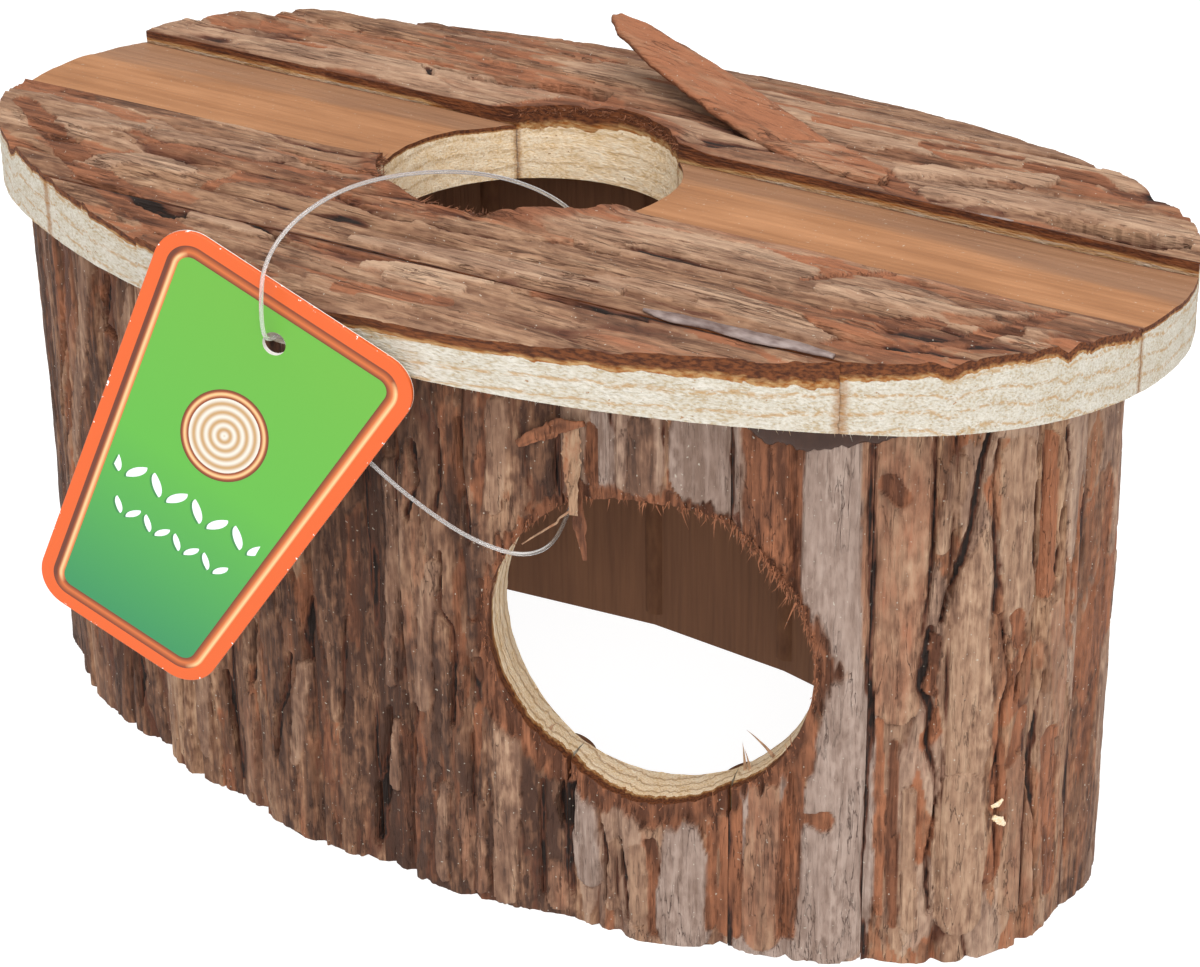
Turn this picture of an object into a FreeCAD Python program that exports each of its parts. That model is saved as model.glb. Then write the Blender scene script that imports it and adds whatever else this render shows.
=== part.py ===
import FreeCAD, Part
import math
import os

import Sketcher
from FreeCAD import Placement, Rotation, Vector

# Wooden hamster house: a ring of upright bark-covered slats stands on the ground, and an oval
# roof of five sawn slats is glued on top.  Millimetres, +Z up, the roof slats run along X and
# the origin is on the ground under the middle of the roof.

doc = FreeCAD.newDocument("HamsterHouse")

# ---------------------------------------------------------------- driving dimensions
SIZES = [
    ("roof_length", 235.0, "oval roof, tip to tip"),
    ("roof_width", 134.0, "oval roof, front to rear"),
    ("roof_end_radius", 50.0, "radius of the roof's rounded ends"),
    ("roof_hole_diameter", 54.0, "round hole sawn through the roof"),
    ("roof_hole_x", -4.0, "middle of the roof hole"),
    ("roof_hole_y", -3.0, "middle of the roof hole"),
    ("seam_front_y", -49.5, "glue seam behind the front edge slat"),
    ("seam_front_angle", 2.0, "turn of that seam out of the X direction"),
    ("seam_bark_y", -12.0, "glue seam between the front slat and the bare slat"),
    ("seam_bark_angle", 2.0, "turn of that seam"),
    ("seam_bare_y", 17.2, "glue seam between the bare slat and the rear slat"),
    ("seam_bare_angle", 0.0, "turn of that seam"),
    ("seam_rear_y", 47.5, "glue seam in front of the rear edge slat"),
    ("seam_rear_angle", 0.0, "turn of that seam"),
    ("front_edge_height", 12.0, "thickness of the front edge slat at its crown"),
    ("front_edge_crown_y", -43.0, "where the front edge slat is thickest"),
    ("front_edge_crown_radius", 85.0, "rounding of its bark"),
    ("front_slat_height", 13.0, "thickness of the front slat at its crown"),
    ("front_slat_crown_y", -31.0, "where the front slat is thickest"),
    ("front_slat_crown_radius", 150.0, "rounding of its bark"),
    ("bare_slat_height", 11.0, "thickness of the bare slat"),
    ("bare_slat_crown_y", 2.5, "where the bare slat is thickest"),
    ("bare_slat_crown_radius", 600.0, "rounding of its peeled face"),
    ("rear_slat_height", 14.2, "thickness of the rear slat at its crown"),
    ("rear_slat_crown_y", 34.0, "where the rear slat is thickest"),
    ("rear_slat_crown_radius", 130.0, "rounding of its bark"),
    ("rear_edge_height", 13.2, "thickness of the rear edge slat at its crown"),
    ("rear_edge_crown_y", 44.0, "where the rear edge slat is thickest"),
    ("rear_edge_crown_radius", 90.0, "rounding of its bark"),
    ("roof_furrow_depth", 1.4, "main furrows of the roof slats' bark"),
    ("roof_furrow_radius", 1.5, "rounding of their bottom"),
    ("wall_height", 102.0, "length of the upright slats"),
    ("wall_length", 223.0, "ring of slats over the bark, tip to tip"),
    ("wall_width", 113.0, "ring of slats over the bark, front to rear"),
    ("wall_end_radius", 39.0, "radius of the ring's rounded ends"),
    ("wall_offset_x", -3.0, "how far the ring stands off the middle of the roof"),
    ("wall_offset_y", -2.5, "how far the ring stands off the middle of the roof"),
    ("slat_thickness", 10.5, "upright slat, inner face to bark crown"),
    ("bark_groove", 2.4, "depth of the valley between two bark crowns"),
    ("bark_furrow_depth", 1.4, "main furrows of the upright slats' bark"),
    ("bark_furrow_width", 3.0, "their width at the surface"),
    ("door_diameter", 56.0, "entrance hole"),
    ("door_center_height", 55.0, "middle of the entrance above the ground"),
    ("door_station", 80.3, "way round the ring from the right-hand tip to the entrance"),
    ("door_facing_angle", -71.0, "direction that the entrance is bored in"),
    ("glue_ring_leg", 4.0, "hot glue fillet between wall and roof, inside"),
    ("glue_ring_chamfer", 3.2, "slope of that fillet"),
    ("glue_line_leg", 2.0, "hot glue in the inside corner of two slats"),
    ("glue_line_foot", 3.0, "height at which those glue lines start"),
    ("eave_glue_reach", 1.8, "glue squeezed out past the bark under the roof"),
    ("eave_glue_drop", 2.8, "how far that glue runs down the bark"),
    ("eave_glue_start", 37.0, "station at which it starts"),
    ("eave_glue_end", 60.0, "station at which it ends"),
    ("bark_strip_length", 79.0, "peeled strip of bark on the roof"),
    ("bark_strip_width", 12.0, "its greatest width"),
    ("bark_strip_tip_width", 5.5, "its width at the raised tip"),
    ("bark_strip_thickness", 1.8, "its thickness"),
    ("bark_strip_foot", 24.0, "stretch of it that still lies on the roof"),
    ("bark_strip_rise", 9.5, "how far its tip stands up"),
    ("bark_strip_root_x", 54.0, "where the strip is rooted"),
    ("bark_strip_root_y", 20.5, "where the strip is rooted"),
    ("bark_strip_angle", 160.0, "direction from root to tip"),
    ("bark_strip_bite", 0.8, "how deep its foot lies in the bark"),
    ("tag_top_width", 49.4, "card tag, upper edge"),
    ("tag_bottom_width", 33.5, "card tag, lower edge"),
    ("tag_above_hole", 9.4, "card above the punched hole"),
    ("tag_below_hole", 66.9, "card below the punched hole"),
    ("tag_corner_radius", 6.5, "rounding of the card's corners"),
    ("tag_thickness", 1.0, "two glued layers of board"),
    ("tag_hole_diameter", 4.0, "punched hole"),
    ("tag_hole_x", -1.9, "place of the hole along the roof rim"),
    ("tag_hole_rise", 4.1, "height of the hole over the top of the wall"),
    ("tag_facing_angle", -72.0, "direction that the printed face looks in"),
    ("tag_turn", -29.4, "turn of the card in its own plane"),
    ("tag_rim_gap", 0.4, "air between the card and the rim as it swings"),
    ("loop_diameter", 0.7, "nylon filament"),
    ("lock_length", 9.0, "snap lock of the loop"),
    ("lock_diameter", 3.4, "snap lock of the loop"),
    ("lock_collar_diameter", 4.4, "collar round its middle"),
    ("lock_collar_length", 2.0, "collar round its middle"),
]

# Widths of the upright slats along the ring, clockwise from the right-hand tip.  They are
# scaled together so that the ring always closes.
SLAT_WIDTHS = [43.2, 22.9, 28.9, 37.9, 36.5, 23.1, 45.4, 27.0, 30.0, 33.0, 37.0, 38.0,
               34.0, 30.0, 26.0, 27.0, 26.4]

# Main furrows in the bark of each upright slat, as shares of its width.
BARK_FURROWS = [(0.31, 0.70), (0.56,), (0.69,), (0.47, 0.83), (0.36, 0.80), (0.50,),
                (0.28, 0.66), (0.45,), (0.60,), (0.36, 0.72), (0.30, 0.66), (0.25, 0.62),
                (0.38, 0.74), (0.45,), (0.55,), (0.50,), (0.45,)]

# Main furrows in the bark of the roof: slat, y at x = 0 and turn out of the X direction.
ROOF_FURROWS = [
    ("front_slat", -30.0, 3.5),
    ("front_slat", -41.0, 2.0),
    ("rear_slat", 31.0, 2.0),
    ("rear_slat", 40.0, 1.0),
]

# Points of the nylon loop's route, chosen by hand: out of the snap lock, up through the roof
# hole, over the rim, through the tag, along the wall, in at the entrance and back to the lock.
LOOP_ROUTE = [
    (12.0, -5.0, 96.5),
    (12.0, -5.0, 104.5),
    (9.4, -12.6, 113.8),
    (6.4, -26.0, 121.6),
    (3.6, -41.5, 126.4),
    (1.0, -57.5, 128.4),
    (-0.4, -70.0, 126.2),
    (-1.2, -76.8, 121.0),
    (-0.8, -78.7, 114.2),
    (-0.7, -78.4, 107.7),
    (-2.8, -71.5, 106.9),
    (-2.7, -69.1, 100.0),
    (0.8, -65.9, 90.6),
    (7.6, -63.2, 82.4),
    (17.2, -61.9, 76.6),
    (26.6, -61.2, 73.2),
    (33.8, -58.0, 71.0),
    (33.6, -49.4, 69.2),
    (29.2, -39.0, 69.4),
    (23.6, -26.4, 71.2),
    (17.4, -14.0, 74.4),
    (12.0, -5.0, 79.5),
    (12.0, -5.0, 87.5),
]

sheet = doc.addObject("Spreadsheet::Sheet", "Sizes")
cells = list(SIZES)
for number, width in enumerate(SLAT_WIDTHS, 1):
    cells.append(("slat_width_%02d" % number, width, "upright slat %d along the ring" % number))
for row, (alias, value, note) in enumerate(cells, 1):
    sheet.set("A%d" % row, note)
    sheet.set("B%d" % row, str(value))
    sheet.setAlias("B%d" % row, alias)
doc.recompute()


def size(alias):
    """Value of one named cell."""
    return float(sheet.get(alias))


# ---------------------------------------------------------------- oval outlines
class Oval:
    """Two side arcs and two end arcs that meet tangentially, walked clockwise from the +X tip."""

    def __init__(self, length, width, end_radius, centre):
        half_length = length / 2
        half_width = width / 2
        side_radius = ((half_length ** 2 + half_width ** 2 - 2 * half_length * end_radius)
                       / (2 * (half_width - end_radius)))
        end_x = half_length - end_radius
        side_y = side_radius - half_width
        turn = math.atan2(side_y, end_x)
        right = centre + Vector(end_x, 0, 0)
        left = centre - Vector(end_x, 0, 0)
        front_centre = centre + Vector(0, side_y, 0)
        rear_centre = centre - Vector(0, side_y, 0)
        self.side_radius = side_radius
        self.front_centre = front_centre
        # (centre, radius, first angle, last angle), angles falling clockwise
        self.arcs = [
            (right, end_radius, 0.0, -turn),
            (front_centre, side_radius, -turn, turn - math.pi),
            (left, end_radius, turn - math.pi, -turn - math.pi),
            (rear_centre, side_radius, -turn - math.pi, turn - 2 * math.pi),
            (right, end_radius, turn - 2 * math.pi, -2 * math.pi),
        ]
        self.girth = sum(radius * (first - last) for _, radius, first, last in self.arcs)

    def at(self, station, depth=0.0):
        """Point on the oval at a way round it, moved inwards by depth."""
        station = station % self.girth
        for centre, radius, first, last in self.arcs:
            stretch = radius * (first - last)
            if station <= stretch:
                angle = first - station / radius
                return centre + Vector(math.cos(angle), math.sin(angle), 0) * (radius - depth)
            station -= stretch
        return self.at(0.0, depth)

    def edges(self):
        """Arcs of the closed outline."""
        result = []
        for centre, radius, first, last in self.arcs:
            spots = [centre + Vector(math.cos(angle), math.sin(angle), 0) * radius
                     for angle in (first, (first + last) / 2, last)]
            result.append(Part.Arc(*spots))
        return result

    def front_y(self, x):
        """Y of the front side arc at a given X."""
        run = x - self.front_centre.x
        return self.front_centre.y - math.sqrt(self.side_radius ** 2 - run ** 2)


roof_oval = Oval(size("roof_length"), size("roof_width"), size("roof_end_radius"),
                 Vector(0, 0, 0))
wall_oval = Oval(size("wall_length"), size("wall_width"), size("wall_end_radius"),
                 Vector(size("wall_offset_x"), size("wall_offset_y"), 0))


# ---------------------------------------------------------------- small helpers
def bind(thing, **expressions):
    """Bind properties to cells; a double underscore stands for a dot."""
    for name, expression in expressions.items():
        thing.setExpression(name.replace("__", "."), expression)


def closed_by(sketch, curves):
    """Add curves to a sketch and join the ends that meet."""
    first = sketch.GeometryCount
    for curve in curves:
        sketch.addGeometry(curve, False)
    count = len(curves)
    for index in range(count):
        here = first + index
        there = first + (index + 1) % count
        for end in (1, 2):
            for start in (1, 2):
                apart = sketch.getPoint(here, end).distanceToPoint(sketch.getPoint(there, start))
                if apart < 1e-6:
                    sketch.addConstraint(Sketcher.Constraint("Coincident", here, end, there, start))


def polygon(points):
    """Line segments round a list of points."""
    return [Part.LineSegment(point, points[(index + 1) % len(points)])
            for index, point in enumerate(points)]


def sketch_of(name, *loops):
    """Free sketch in the XY plane that holds closed loops of curves."""
    sketch = doc.addObject("Sketcher::SketchObject", name)
    for curves in loops:
        closed_by(sketch, curves)
    return sketch


def prism(name, sketch, **expressions):
    """Upright extrusion of a sketch."""
    solid = doc.addObject("Part::Extrusion", name)
    solid.Base = sketch
    solid.DirMode = "Custom"
    solid.Dir = Vector(0, 0, 1)
    solid.Solid = True
    bind(solid, **expressions)
    return solid


def cut(name, base, tool):
    result = doc.addObject("Part::Cut", name)
    result.Base = base
    result.Tool = tool
    return result


def common(name, *shapes):
    result = doc.addObject("Part::MultiCommon", name)
    result.Shapes = list(shapes)
    return result


def body_sketch(body, name, role="XY_Plane"):
    """Sketch on one of a body's own origin planes."""
    sketch = body.newObject("Sketcher::SketchObject", name)
    plane = [feature for feature in body.Origin.OriginFeatures if feature.Role == role][0]
    sketch.AttachmentSupport = [(plane, "")]
    sketch.MapMode = "FlatFace"
    return sketch


parts = {}


def part(label, thing):
    """Give a finished piece the label that names its file."""
    thing.Label = label
    parts[label] = thing


# ---------------------------------------------------------------- upright wall slats
door_axis = Vector(math.cos(math.radians(size("door_facing_angle"))),
                   math.sin(math.radians(size("door_facing_angle"))), 0)
door_middle = wall_oval.at(size("door_station"), size("slat_thickness") / 2)
DOOR_BORE_LENGTH = 80.0
door_bore = doc.addObject("Part::Cylinder", "DoorBore")
door_bore.Placement = Placement(door_middle - door_axis * (DOOR_BORE_LENGTH / 2),
                                Rotation(Vector(0, 0, 1), door_axis))
door_bore.Height = DOOR_BORE_LENGTH
bind(door_bore, Radius="Sizes.door_diameter / 2", Placement__Base__z="Sizes.door_center_height")

widths = [size("slat_width_%02d" % number) for number in range(1, len(SLAT_WIDTHS) + 1)]
fit = wall_oval.girth / sum(widths)
joints = [fit * sum(widths[:number]) for number in range(len(widths) + 1)]


def slat_corners(first, last):
    """Outer and inner corners of the slat between two joints, and its crown."""
    groove = size("bark_groove")
    depth = size("slat_thickness")
    return (wall_oval.at(first, groove), wall_oval.at((first + last) / 2),
            wall_oval.at(last, groove), wall_oval.at(last, depth), wall_oval.at(first, depth))


def door_reach(first, last):
    """How far left and right of the entrance's middle the slat between two joints reaches."""
    across = Vector(-door_axis.y, door_axis.x, 0)
    reach = [(corner - door_middle).dot(across) for corner in slat_corners(first, last)]
    return min(reach), max(reach)


def furrowed_arc(start, crown, end, shares):
    """Arc over the bark crown, broken by V-shaped furrows at shares of its length."""
    arc = Part.Arc(start, crown, end).toShape()
    first = arc.FirstParameter
    reach = arc.LastParameter - first
    half = size("bark_furrow_width") / 2 / arc.Length
    depth = size("bark_furrow_depth")
    curves = []
    here = start
    done = 0.0
    for share in shares:
        before, bottom, after, middle = [
            arc.valueAt(first + reach * place)
            for place in (share - half, share, share + half, (done + share - half) / 2)]
        bottom = bottom + (arc.Curve.Center - bottom).normalize() * depth
        curves += [Part.Arc(here, middle, before), Part.LineSegment(before, bottom),
                   Part.LineSegment(bottom, after)]
        here = after
        done = share + half
    curves.append(Part.Arc(here, arc.valueAt(first + reach * (done + 1) / 2), end))
    return curves


def padded_slat(name, outline_points, furrows, length, foot=None):
    """Body of one slat: flat inside and at its joints, with a rounded, furrowed bark crown."""
    start, crown, end, inner_end, inner_start = outline_points
    body = doc.addObject("PartDesign::Body", name)
    outline = body_sketch(body, name + "Outline")
    closed_by(outline, furrowed_arc(start, crown, end, furrows) + [
        Part.LineSegment(end, inner_end), Part.LineSegment(inner_end, inner_start),
        Part.LineSegment(inner_start, start)])
    pad = body.newObject("PartDesign::Pad", name + "Pad")
    pad.Profile = outline
    bind(pad, Length=length)
    if foot:
        bind(body, Placement__Base__z=foot)
    return body


half_door = size("door_diameter") / 2
for number, (first, last) in enumerate(zip(joints, joints[1:]), 1):
    label = "wall_slat_%02d" % number
    name = "WallSlat%02d" % number
    corners = slat_corners(first, last)
    furrows = BARK_FURROWS[number - 1]
    low_reach, high_reach = door_reach(first, last)
    faces_door = (wall_oval.at((first + last) / 2) - door_middle).dot(door_axis) > -half_door
    if not faces_door or low_reach > half_door or high_reach < -half_door:
        part(label, padded_slat(name, corners, furrows, "Sizes.wall_height"))
    elif low_reach > -half_door and high_reach < half_door:
        lower = padded_slat(name + "Lower", corners, furrows, "Sizes.door_center_height")
        upper = padded_slat(name + "Upper", corners, furrows,
                            "Sizes.wall_height - Sizes.door_center_height",
                            "Sizes.door_center_height")
        part(label + "_below_door", cut(name + "LowerBored", lower, door_bore))
        part(label + "_above_door", cut(name + "UpperBored", upper, door_bore))
    else:
        blank = padded_slat(name, corners, furrows, "Sizes.wall_height")
        part(label, cut(name + "Bored", blank, door_bore))

# ---------------------------------------------------------------- roof slats
BLANK_HEIGHT = 40.0
BLANK_REACH = size("roof_length")
roof_blank = prism("RoofBlank", sketch_of("RoofOutline", roof_oval.edges()),
                   LengthFwd="Sizes.wall_height + %g" % BLANK_HEIGHT)
roof_hole = doc.addObject("Part::Cylinder", "RoofHole")
bind(roof_hole, Radius="Sizes.roof_hole_diameter / 2",
     Height="Sizes.wall_height + %g" % BLANK_HEIGHT,
     Placement__Base__x="Sizes.roof_hole_x", Placement__Base__y="Sizes.roof_hole_y")


def seam(name):
    """Ends of one glue seam, well past the roof on both sides."""
    if name is None:
        return None
    slope = math.tan(math.radians(size("seam_%s_angle" % name)))
    y = size("seam_%s_y" % name)
    return [Vector(x, y + x * slope, 0) for x in (-BLANK_REACH, BLANK_REACH)]


def slat_band(name, front, rear, left_x=-BLANK_REACH, right_x=BLANK_REACH):
    """Upright blank of a roof slat between two seams and two X positions."""
    corners = []
    for ends, fallback in ((front, -BLANK_REACH), (rear, BLANK_REACH)):
        for x in (left_x, right_x):
            if ends is None:
                corners.append(Vector(x, fallback, 0))
            else:
                slope = (ends[1].y - ends[0].y) / (ends[1].x - ends[0].x)
                corners.append(Vector(x, ends[0].y + (x - ends[0].x) * slope, 0))
    ring = [corners[0], corners[1], corners[3], corners[2]]
    band = prism(name, sketch_of(name + "Outline", polygon(ring)), LengthFwd="%g" % BLANK_HEIGHT)
    bind(band, Placement__Base__z="Sizes.wall_height")
    return band


def crown_bar(name, slat):
    """Long round bar whose top is the bark crown of a roof slat."""
    bar = doc.addObject("Part::Cylinder", name)
    bar.Height = 2 * BLANK_REACH
    bar.Placement = Placement(Vector(-BLANK_REACH, 0, 0), Rotation(Vector(0, 1, 0), 90))
    bind(bar, Radius="Sizes.%s_crown_radius" % slat,
         Placement__Base__y="Sizes.%s_crown_y" % slat,
         Placement__Base__z="Sizes.wall_height + Sizes.%s_height - Sizes.%s_crown_radius"
         % (slat, slat))
    return bar


def furrow_bar(name, slat, y, angle):
    """Long round bar that cuts a furrow into the bark crown of a roof slat."""
    crown_radius = size(slat + "_crown_radius")
    drop = crown_radius - math.sqrt(crown_radius ** 2 - (y - size(slat + "_crown_y")) ** 2)
    radius = size("roof_furrow_radius")
    along = Vector(math.cos(math.radians(angle)), math.sin(math.radians(angle)), 0)
    height = size("wall_height") + size(slat + "_height") - drop
    bar = doc.addObject("Part::Cylinder", name)
    bar.Height = 2 * BLANK_REACH
    bar.Placement = Placement(
        Vector(0, y, height + radius - size("roof_furrow_depth")) - along * BLANK_REACH,
        Rotation(Vector(0, 0, 1), along))
    bind(bar, Radius="Sizes.roof_furrow_radius")
    return bar


def roof_slat(label, slat, band, bored):
    """One sawn slat of the roof."""
    name = "".join(word.capitalize() for word in label.split("_"))
    solid = common(name, roof_blank, band, crown_bar(name + "Crown", slat))
    for number, (furrowed, y, angle) in enumerate(ROOF_FURROWS, 1):
        if furrowed == slat:
            bar = furrow_bar("%sFurrow%d" % (name, number), slat, y, angle)
            solid = cut("%sFurrowed%d" % (name, number), solid, bar)
    if bored:
        solid = cut(name + "Bored", solid, roof_hole)
    part(label, solid)
    return solid


seams = {name: seam(name) for name in ("front", "bark", "bare", "rear")}
hole_x = size("roof_hole_x")
roof_slat("roof_slat_front_edge", "front_edge",
          slat_band("BandFrontEdge", None, seams["front"]), False)
roof_slat("roof_slat_front", "front_slat",
          slat_band("BandFront", seams["front"], seams["bark"]), True)
roof_slat("roof_slat_bare_left", "bare_slat",
          slat_band("BandBareLeft", seams["bark"], seams["bare"], right_x=hole_x), True)
roof_slat("roof_slat_bare_right", "bare_slat",
          slat_band("BandBareRight", seams["bark"], seams["bare"], left_x=hole_x), True)
rear_slat = roof_slat("roof_slat_rear", "rear_slat",
                      slat_band("BandRear", seams["bare"], seams["rear"]), True)
roof_slat("roof_slat_rear_edge", "rear_edge",
          slat_band("BandRearEdge", seams["rear"], None), False)

# ---------------------------------------------------------------- hot glue
inner_corners = [wall_oval.at(joint, size("slat_thickness")) for joint in joints[:-1]]


def inset(points, leg):
    """Inner corners moved along both walls' bisector so that a strip of that width is left."""
    result = []
    count = len(points)
    for index, point in enumerate(points):
        before = (points[index - 1] - point).normalize()
        after = (points[(index + 1) % count] - point).normalize()
        bisector = (before + after).normalize()
        half_angle = before.getAngle(after) / 2
        result.append(point + bisector * (leg / math.sin(half_angle)))
    return result


ring_body = doc.addObject("PartDesign::Body", "GlueRingBody")
ring_sketch = body_sketch(ring_body, "GlueRingOutline")
closed_by(ring_sketch, polygon(inner_corners))
closed_by(ring_sketch, polygon(inset(inner_corners, size("glue_ring_leg"))))
ring_pad = ring_body.newObject("PartDesign::Pad", "GlueRingPad")
ring_pad.Profile = ring_sketch
bind(ring_pad, Length="Sizes.glue_ring_leg")
doc.recompute()
inner_lower = []
wall_line = Part.Wire(Part.makePolygon(inner_corners + inner_corners[:1]).Edges)
for index, edge in enumerate(ring_pad.Shape.Edges, 1):
    flat = abs(edge.BoundBox.ZMax) < 1e-6
    if flat and edge.distToShape(wall_line)[0] > size("glue_ring_leg") / 2:
        inner_lower.append("Edge%d" % index)
ring_slope = ring_body.newObject("PartDesign::Chamfer", "GlueRingSlope")
ring_slope.Base = (ring_pad, inner_lower)
bind(ring_slope, Size="Sizes.glue_ring_chamfer")
bind(ring_body, Placement__Base__z="Sizes.wall_height - Sizes.glue_ring_leg")
part("glue_ring_under_roof", ring_body)

glue_leg = size("glue_line_leg")
glue_loops = []
for index, corner in enumerate(inner_corners):
    before = (inner_corners[index - 1] - corner).normalize() * glue_leg
    after = (inner_corners[(index + 1) % len(inner_corners)] - corner).normalize() * glue_leg
    swell = (before + after).normalize() * (glue_leg * 0.6)
    glue_loops.append([Part.LineSegment(corner + before, corner),
                       Part.LineSegment(corner, corner + after),
                       Part.Arc(corner + after, corner + swell, corner + before)])
glue_lines = prism("GlueLines", sketch_of("GlueLineOutlines", *glue_loops),
                   LengthFwd="Sizes.wall_height - Sizes.glue_ring_leg - Sizes.glue_line_foot",
                   Placement__Base__z="Sizes.glue_line_foot")
part("glue_lines_between_slats", cut("GlueLinesBored", glue_lines, door_bore))

eave_start = size("eave_glue_start")
eave_end = size("eave_glue_end")
eave_middle = (eave_start + eave_end) / 2
eave_reach = size("eave_glue_reach")
eave_loop = [
    Part.LineSegment(wall_oval.at(eave_start, glue_leg), wall_oval.at(eave_start, -eave_reach / 4)),
    Part.Arc(wall_oval.at(eave_start, -eave_reach / 4), wall_oval.at(eave_middle, -eave_reach),
             wall_oval.at(eave_end, -eave_reach / 4)),
    Part.LineSegment(wall_oval.at(eave_end, -eave_reach / 4), wall_oval.at(eave_end, glue_leg)),
    Part.Arc(wall_oval.at(eave_end, glue_leg), wall_oval.at(eave_middle, glue_leg),
             wall_oval.at(eave_start, glue_leg)),
]
eave_glue = prism("EaveGlueBlank", sketch_of("EaveGlueOutline", eave_loop),
                  LengthFwd="Sizes.eave_glue_drop",
                  Placement__Base__z="Sizes.wall_height - Sizes.eave_glue_drop")
for number, (first, last) in enumerate(zip(joints, joints[1:]), 1):
    if first < eave_end and last > eave_start:
        eave_glue = cut("EaveGlue%02d" % number, eave_glue, parts["wall_slat_%02d" % number])
part("glue_bead_under_eave", eave_glue)

# ---------------------------------------------------------------- peeled strip of bark
strip_length = size("bark_strip_length")
strip_foot = size("bark_strip_foot")
strip_rise = size("bark_strip_rise")
strip_thick = size("bark_strip_thickness")
slope = math.atan2(strip_rise, strip_length - strip_foot)
lift = Vector(-math.sin(slope), 0, math.cos(slope)) * strip_thick
tip = Vector(strip_length, 0, strip_rise)
knee = Vector(strip_foot, 0, 0)
bend_top = Vector(strip_foot - strip_thick * math.tan(slope / 2), 0, strip_thick)
strip_side = doc.addObject("Sketcher::SketchObject", "BarkStripSide")
closed_by(strip_side, [Part.LineSegment(Vector(point.x, point.z, 0), Vector(after.x, after.z, 0))
                       for point, after in ((Vector(0, 0, 0), knee), (knee, tip),
                                            (tip, tip + lift), (tip + lift, bend_top),
                                            (bend_top, Vector(0, 0, strip_thick)),
                                            (Vector(0, 0, strip_thick), Vector(0, 0, 0)))])
strip_side.Placement = Placement(Vector(0, 0, 0), Rotation(Vector(1, 0, 0), 90))
strip_bar = doc.addObject("Part::Extrusion", "BarkStripBar")
strip_bar.Base = strip_side
strip_bar.DirMode = "Custom"
strip_bar.Dir = Vector(0, 1, 0)
strip_bar.Solid = True
strip_bar.Symmetric = True
bind(strip_bar, LengthFwd="Sizes.bark_strip_width * 2")
half_strip = size("bark_strip_width") / 2
half_tip = size("bark_strip_tip_width") / 2
strip_plan = [
    Part.Arc(Vector(0, -half_tip, 0), Vector(-half_tip, 0, 0), Vector(0, half_tip, 0)),
    Part.Arc(Vector(0, half_tip, 0), Vector(strip_length * 0.4, half_strip, 0),
             Vector(strip_length, half_tip, 0)),
    Part.LineSegment(Vector(strip_length, half_tip, 0), Vector(strip_length, -half_tip, 0)),
    Part.Arc(Vector(strip_length, -half_tip, 0), Vector(strip_length * 0.4, -half_strip, 0),
             Vector(0, -half_tip, 0)),
]
strip_leaf = prism("BarkStripLeaf", sketch_of("BarkStripPlan", strip_plan),
                   LengthFwd="Sizes.bark_strip_rise + 20")
strip_leaf.Placement.Base.z = -strip_thick
strip = common("BarkStripBlank", strip_bar, strip_leaf)
strip_turn = Rotation(Vector(0, 0, 1), size("bark_strip_angle"))
rear_radius = size("rear_slat_crown_radius")
root_drop = rear_radius - math.sqrt(
    rear_radius ** 2 - (size("bark_strip_root_y") - size("rear_slat_crown_y")) ** 2)
strip.Placement = Placement(
    Vector(size("bark_strip_root_x"), size("bark_strip_root_y"),
           size("wall_height") + size("rear_slat_height") - root_drop - size("bark_strip_bite")),
    strip_turn)
part("bark_strip", cut("BarkStrip", strip, rear_slat))

# ---------------------------------------------------------------- card tag
tag_angle = math.radians(size("tag_facing_angle"))
tag_out = Vector(math.cos(tag_angle), math.sin(tag_angle), 0)
tag_along = Vector(-math.sin(tag_angle), math.cos(tag_angle), 0)
corner_radius = size("tag_corner_radius")
above = size("tag_above_hole")
below = size("tag_below_hole")
half_top = size("tag_top_width") / 2
half_bottom = size("tag_bottom_width") / 2


def rounded(points, radius):
    """Lines and tangent arcs of a polygon with rounded corners."""
    curves = []
    count = len(points)
    tangents = []
    for index, point in enumerate(points):
        before = (points[index - 1] - point).normalize()
        after = (points[(index + 1) % count] - point).normalize()
        half_angle = before.getAngle(after) / 2
        run = radius / math.tan(half_angle)
        middle = point + (before + after).normalize() * (radius / math.sin(half_angle) - radius)
        tangents.append((point + before * run, middle, point + after * run))
    for index, (first, middle, last) in enumerate(tangents):
        curves.append(Part.Arc(first, middle, last))
        curves.append(Part.LineSegment(last, tangents[(index + 1) % count][0]))
    return curves


card = [Vector(-half_top, above, 0), Vector(-half_bottom, -below, 0),
        Vector(half_bottom, -below, 0), Vector(half_top, above, 0)]
tag_body = doc.addObject("PartDesign::Body", "TagBody")
tag_sketch = body_sketch(tag_body, "TagOutline")
closed_by(tag_sketch, rounded(card, corner_radius))
tag_pad = tag_body.newObject("PartDesign::Pad", "TagPad")
tag_pad.Profile = tag_sketch
tag_pad.Reversed = True
bind(tag_pad, Length="Sizes.tag_thickness")
hole_sketch = body_sketch(tag_body, "TagHoleOutline")
hole_circle = hole_sketch.addGeometry(
    Part.Circle(Vector(0, 0, 0), Vector(0, 0, 1), size("tag_hole_diameter") / 2), False)
hole_sketch.addConstraint(Sketcher.Constraint("Coincident", hole_circle, 3, -1, 1))
hole_width = hole_sketch.addConstraint(
    Sketcher.Constraint("Diameter", hole_circle, size("tag_hole_diameter")))
hole_sketch.setExpression("Constraints[%d]" % hole_width, "Sizes.tag_hole_diameter")
tag_hole = tag_body.newObject("PartDesign::Pocket", "TagHole")
tag_hole.Profile = hole_sketch
tag_hole.Type = "ThroughAll"
tag_hole.Midplane = True
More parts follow.
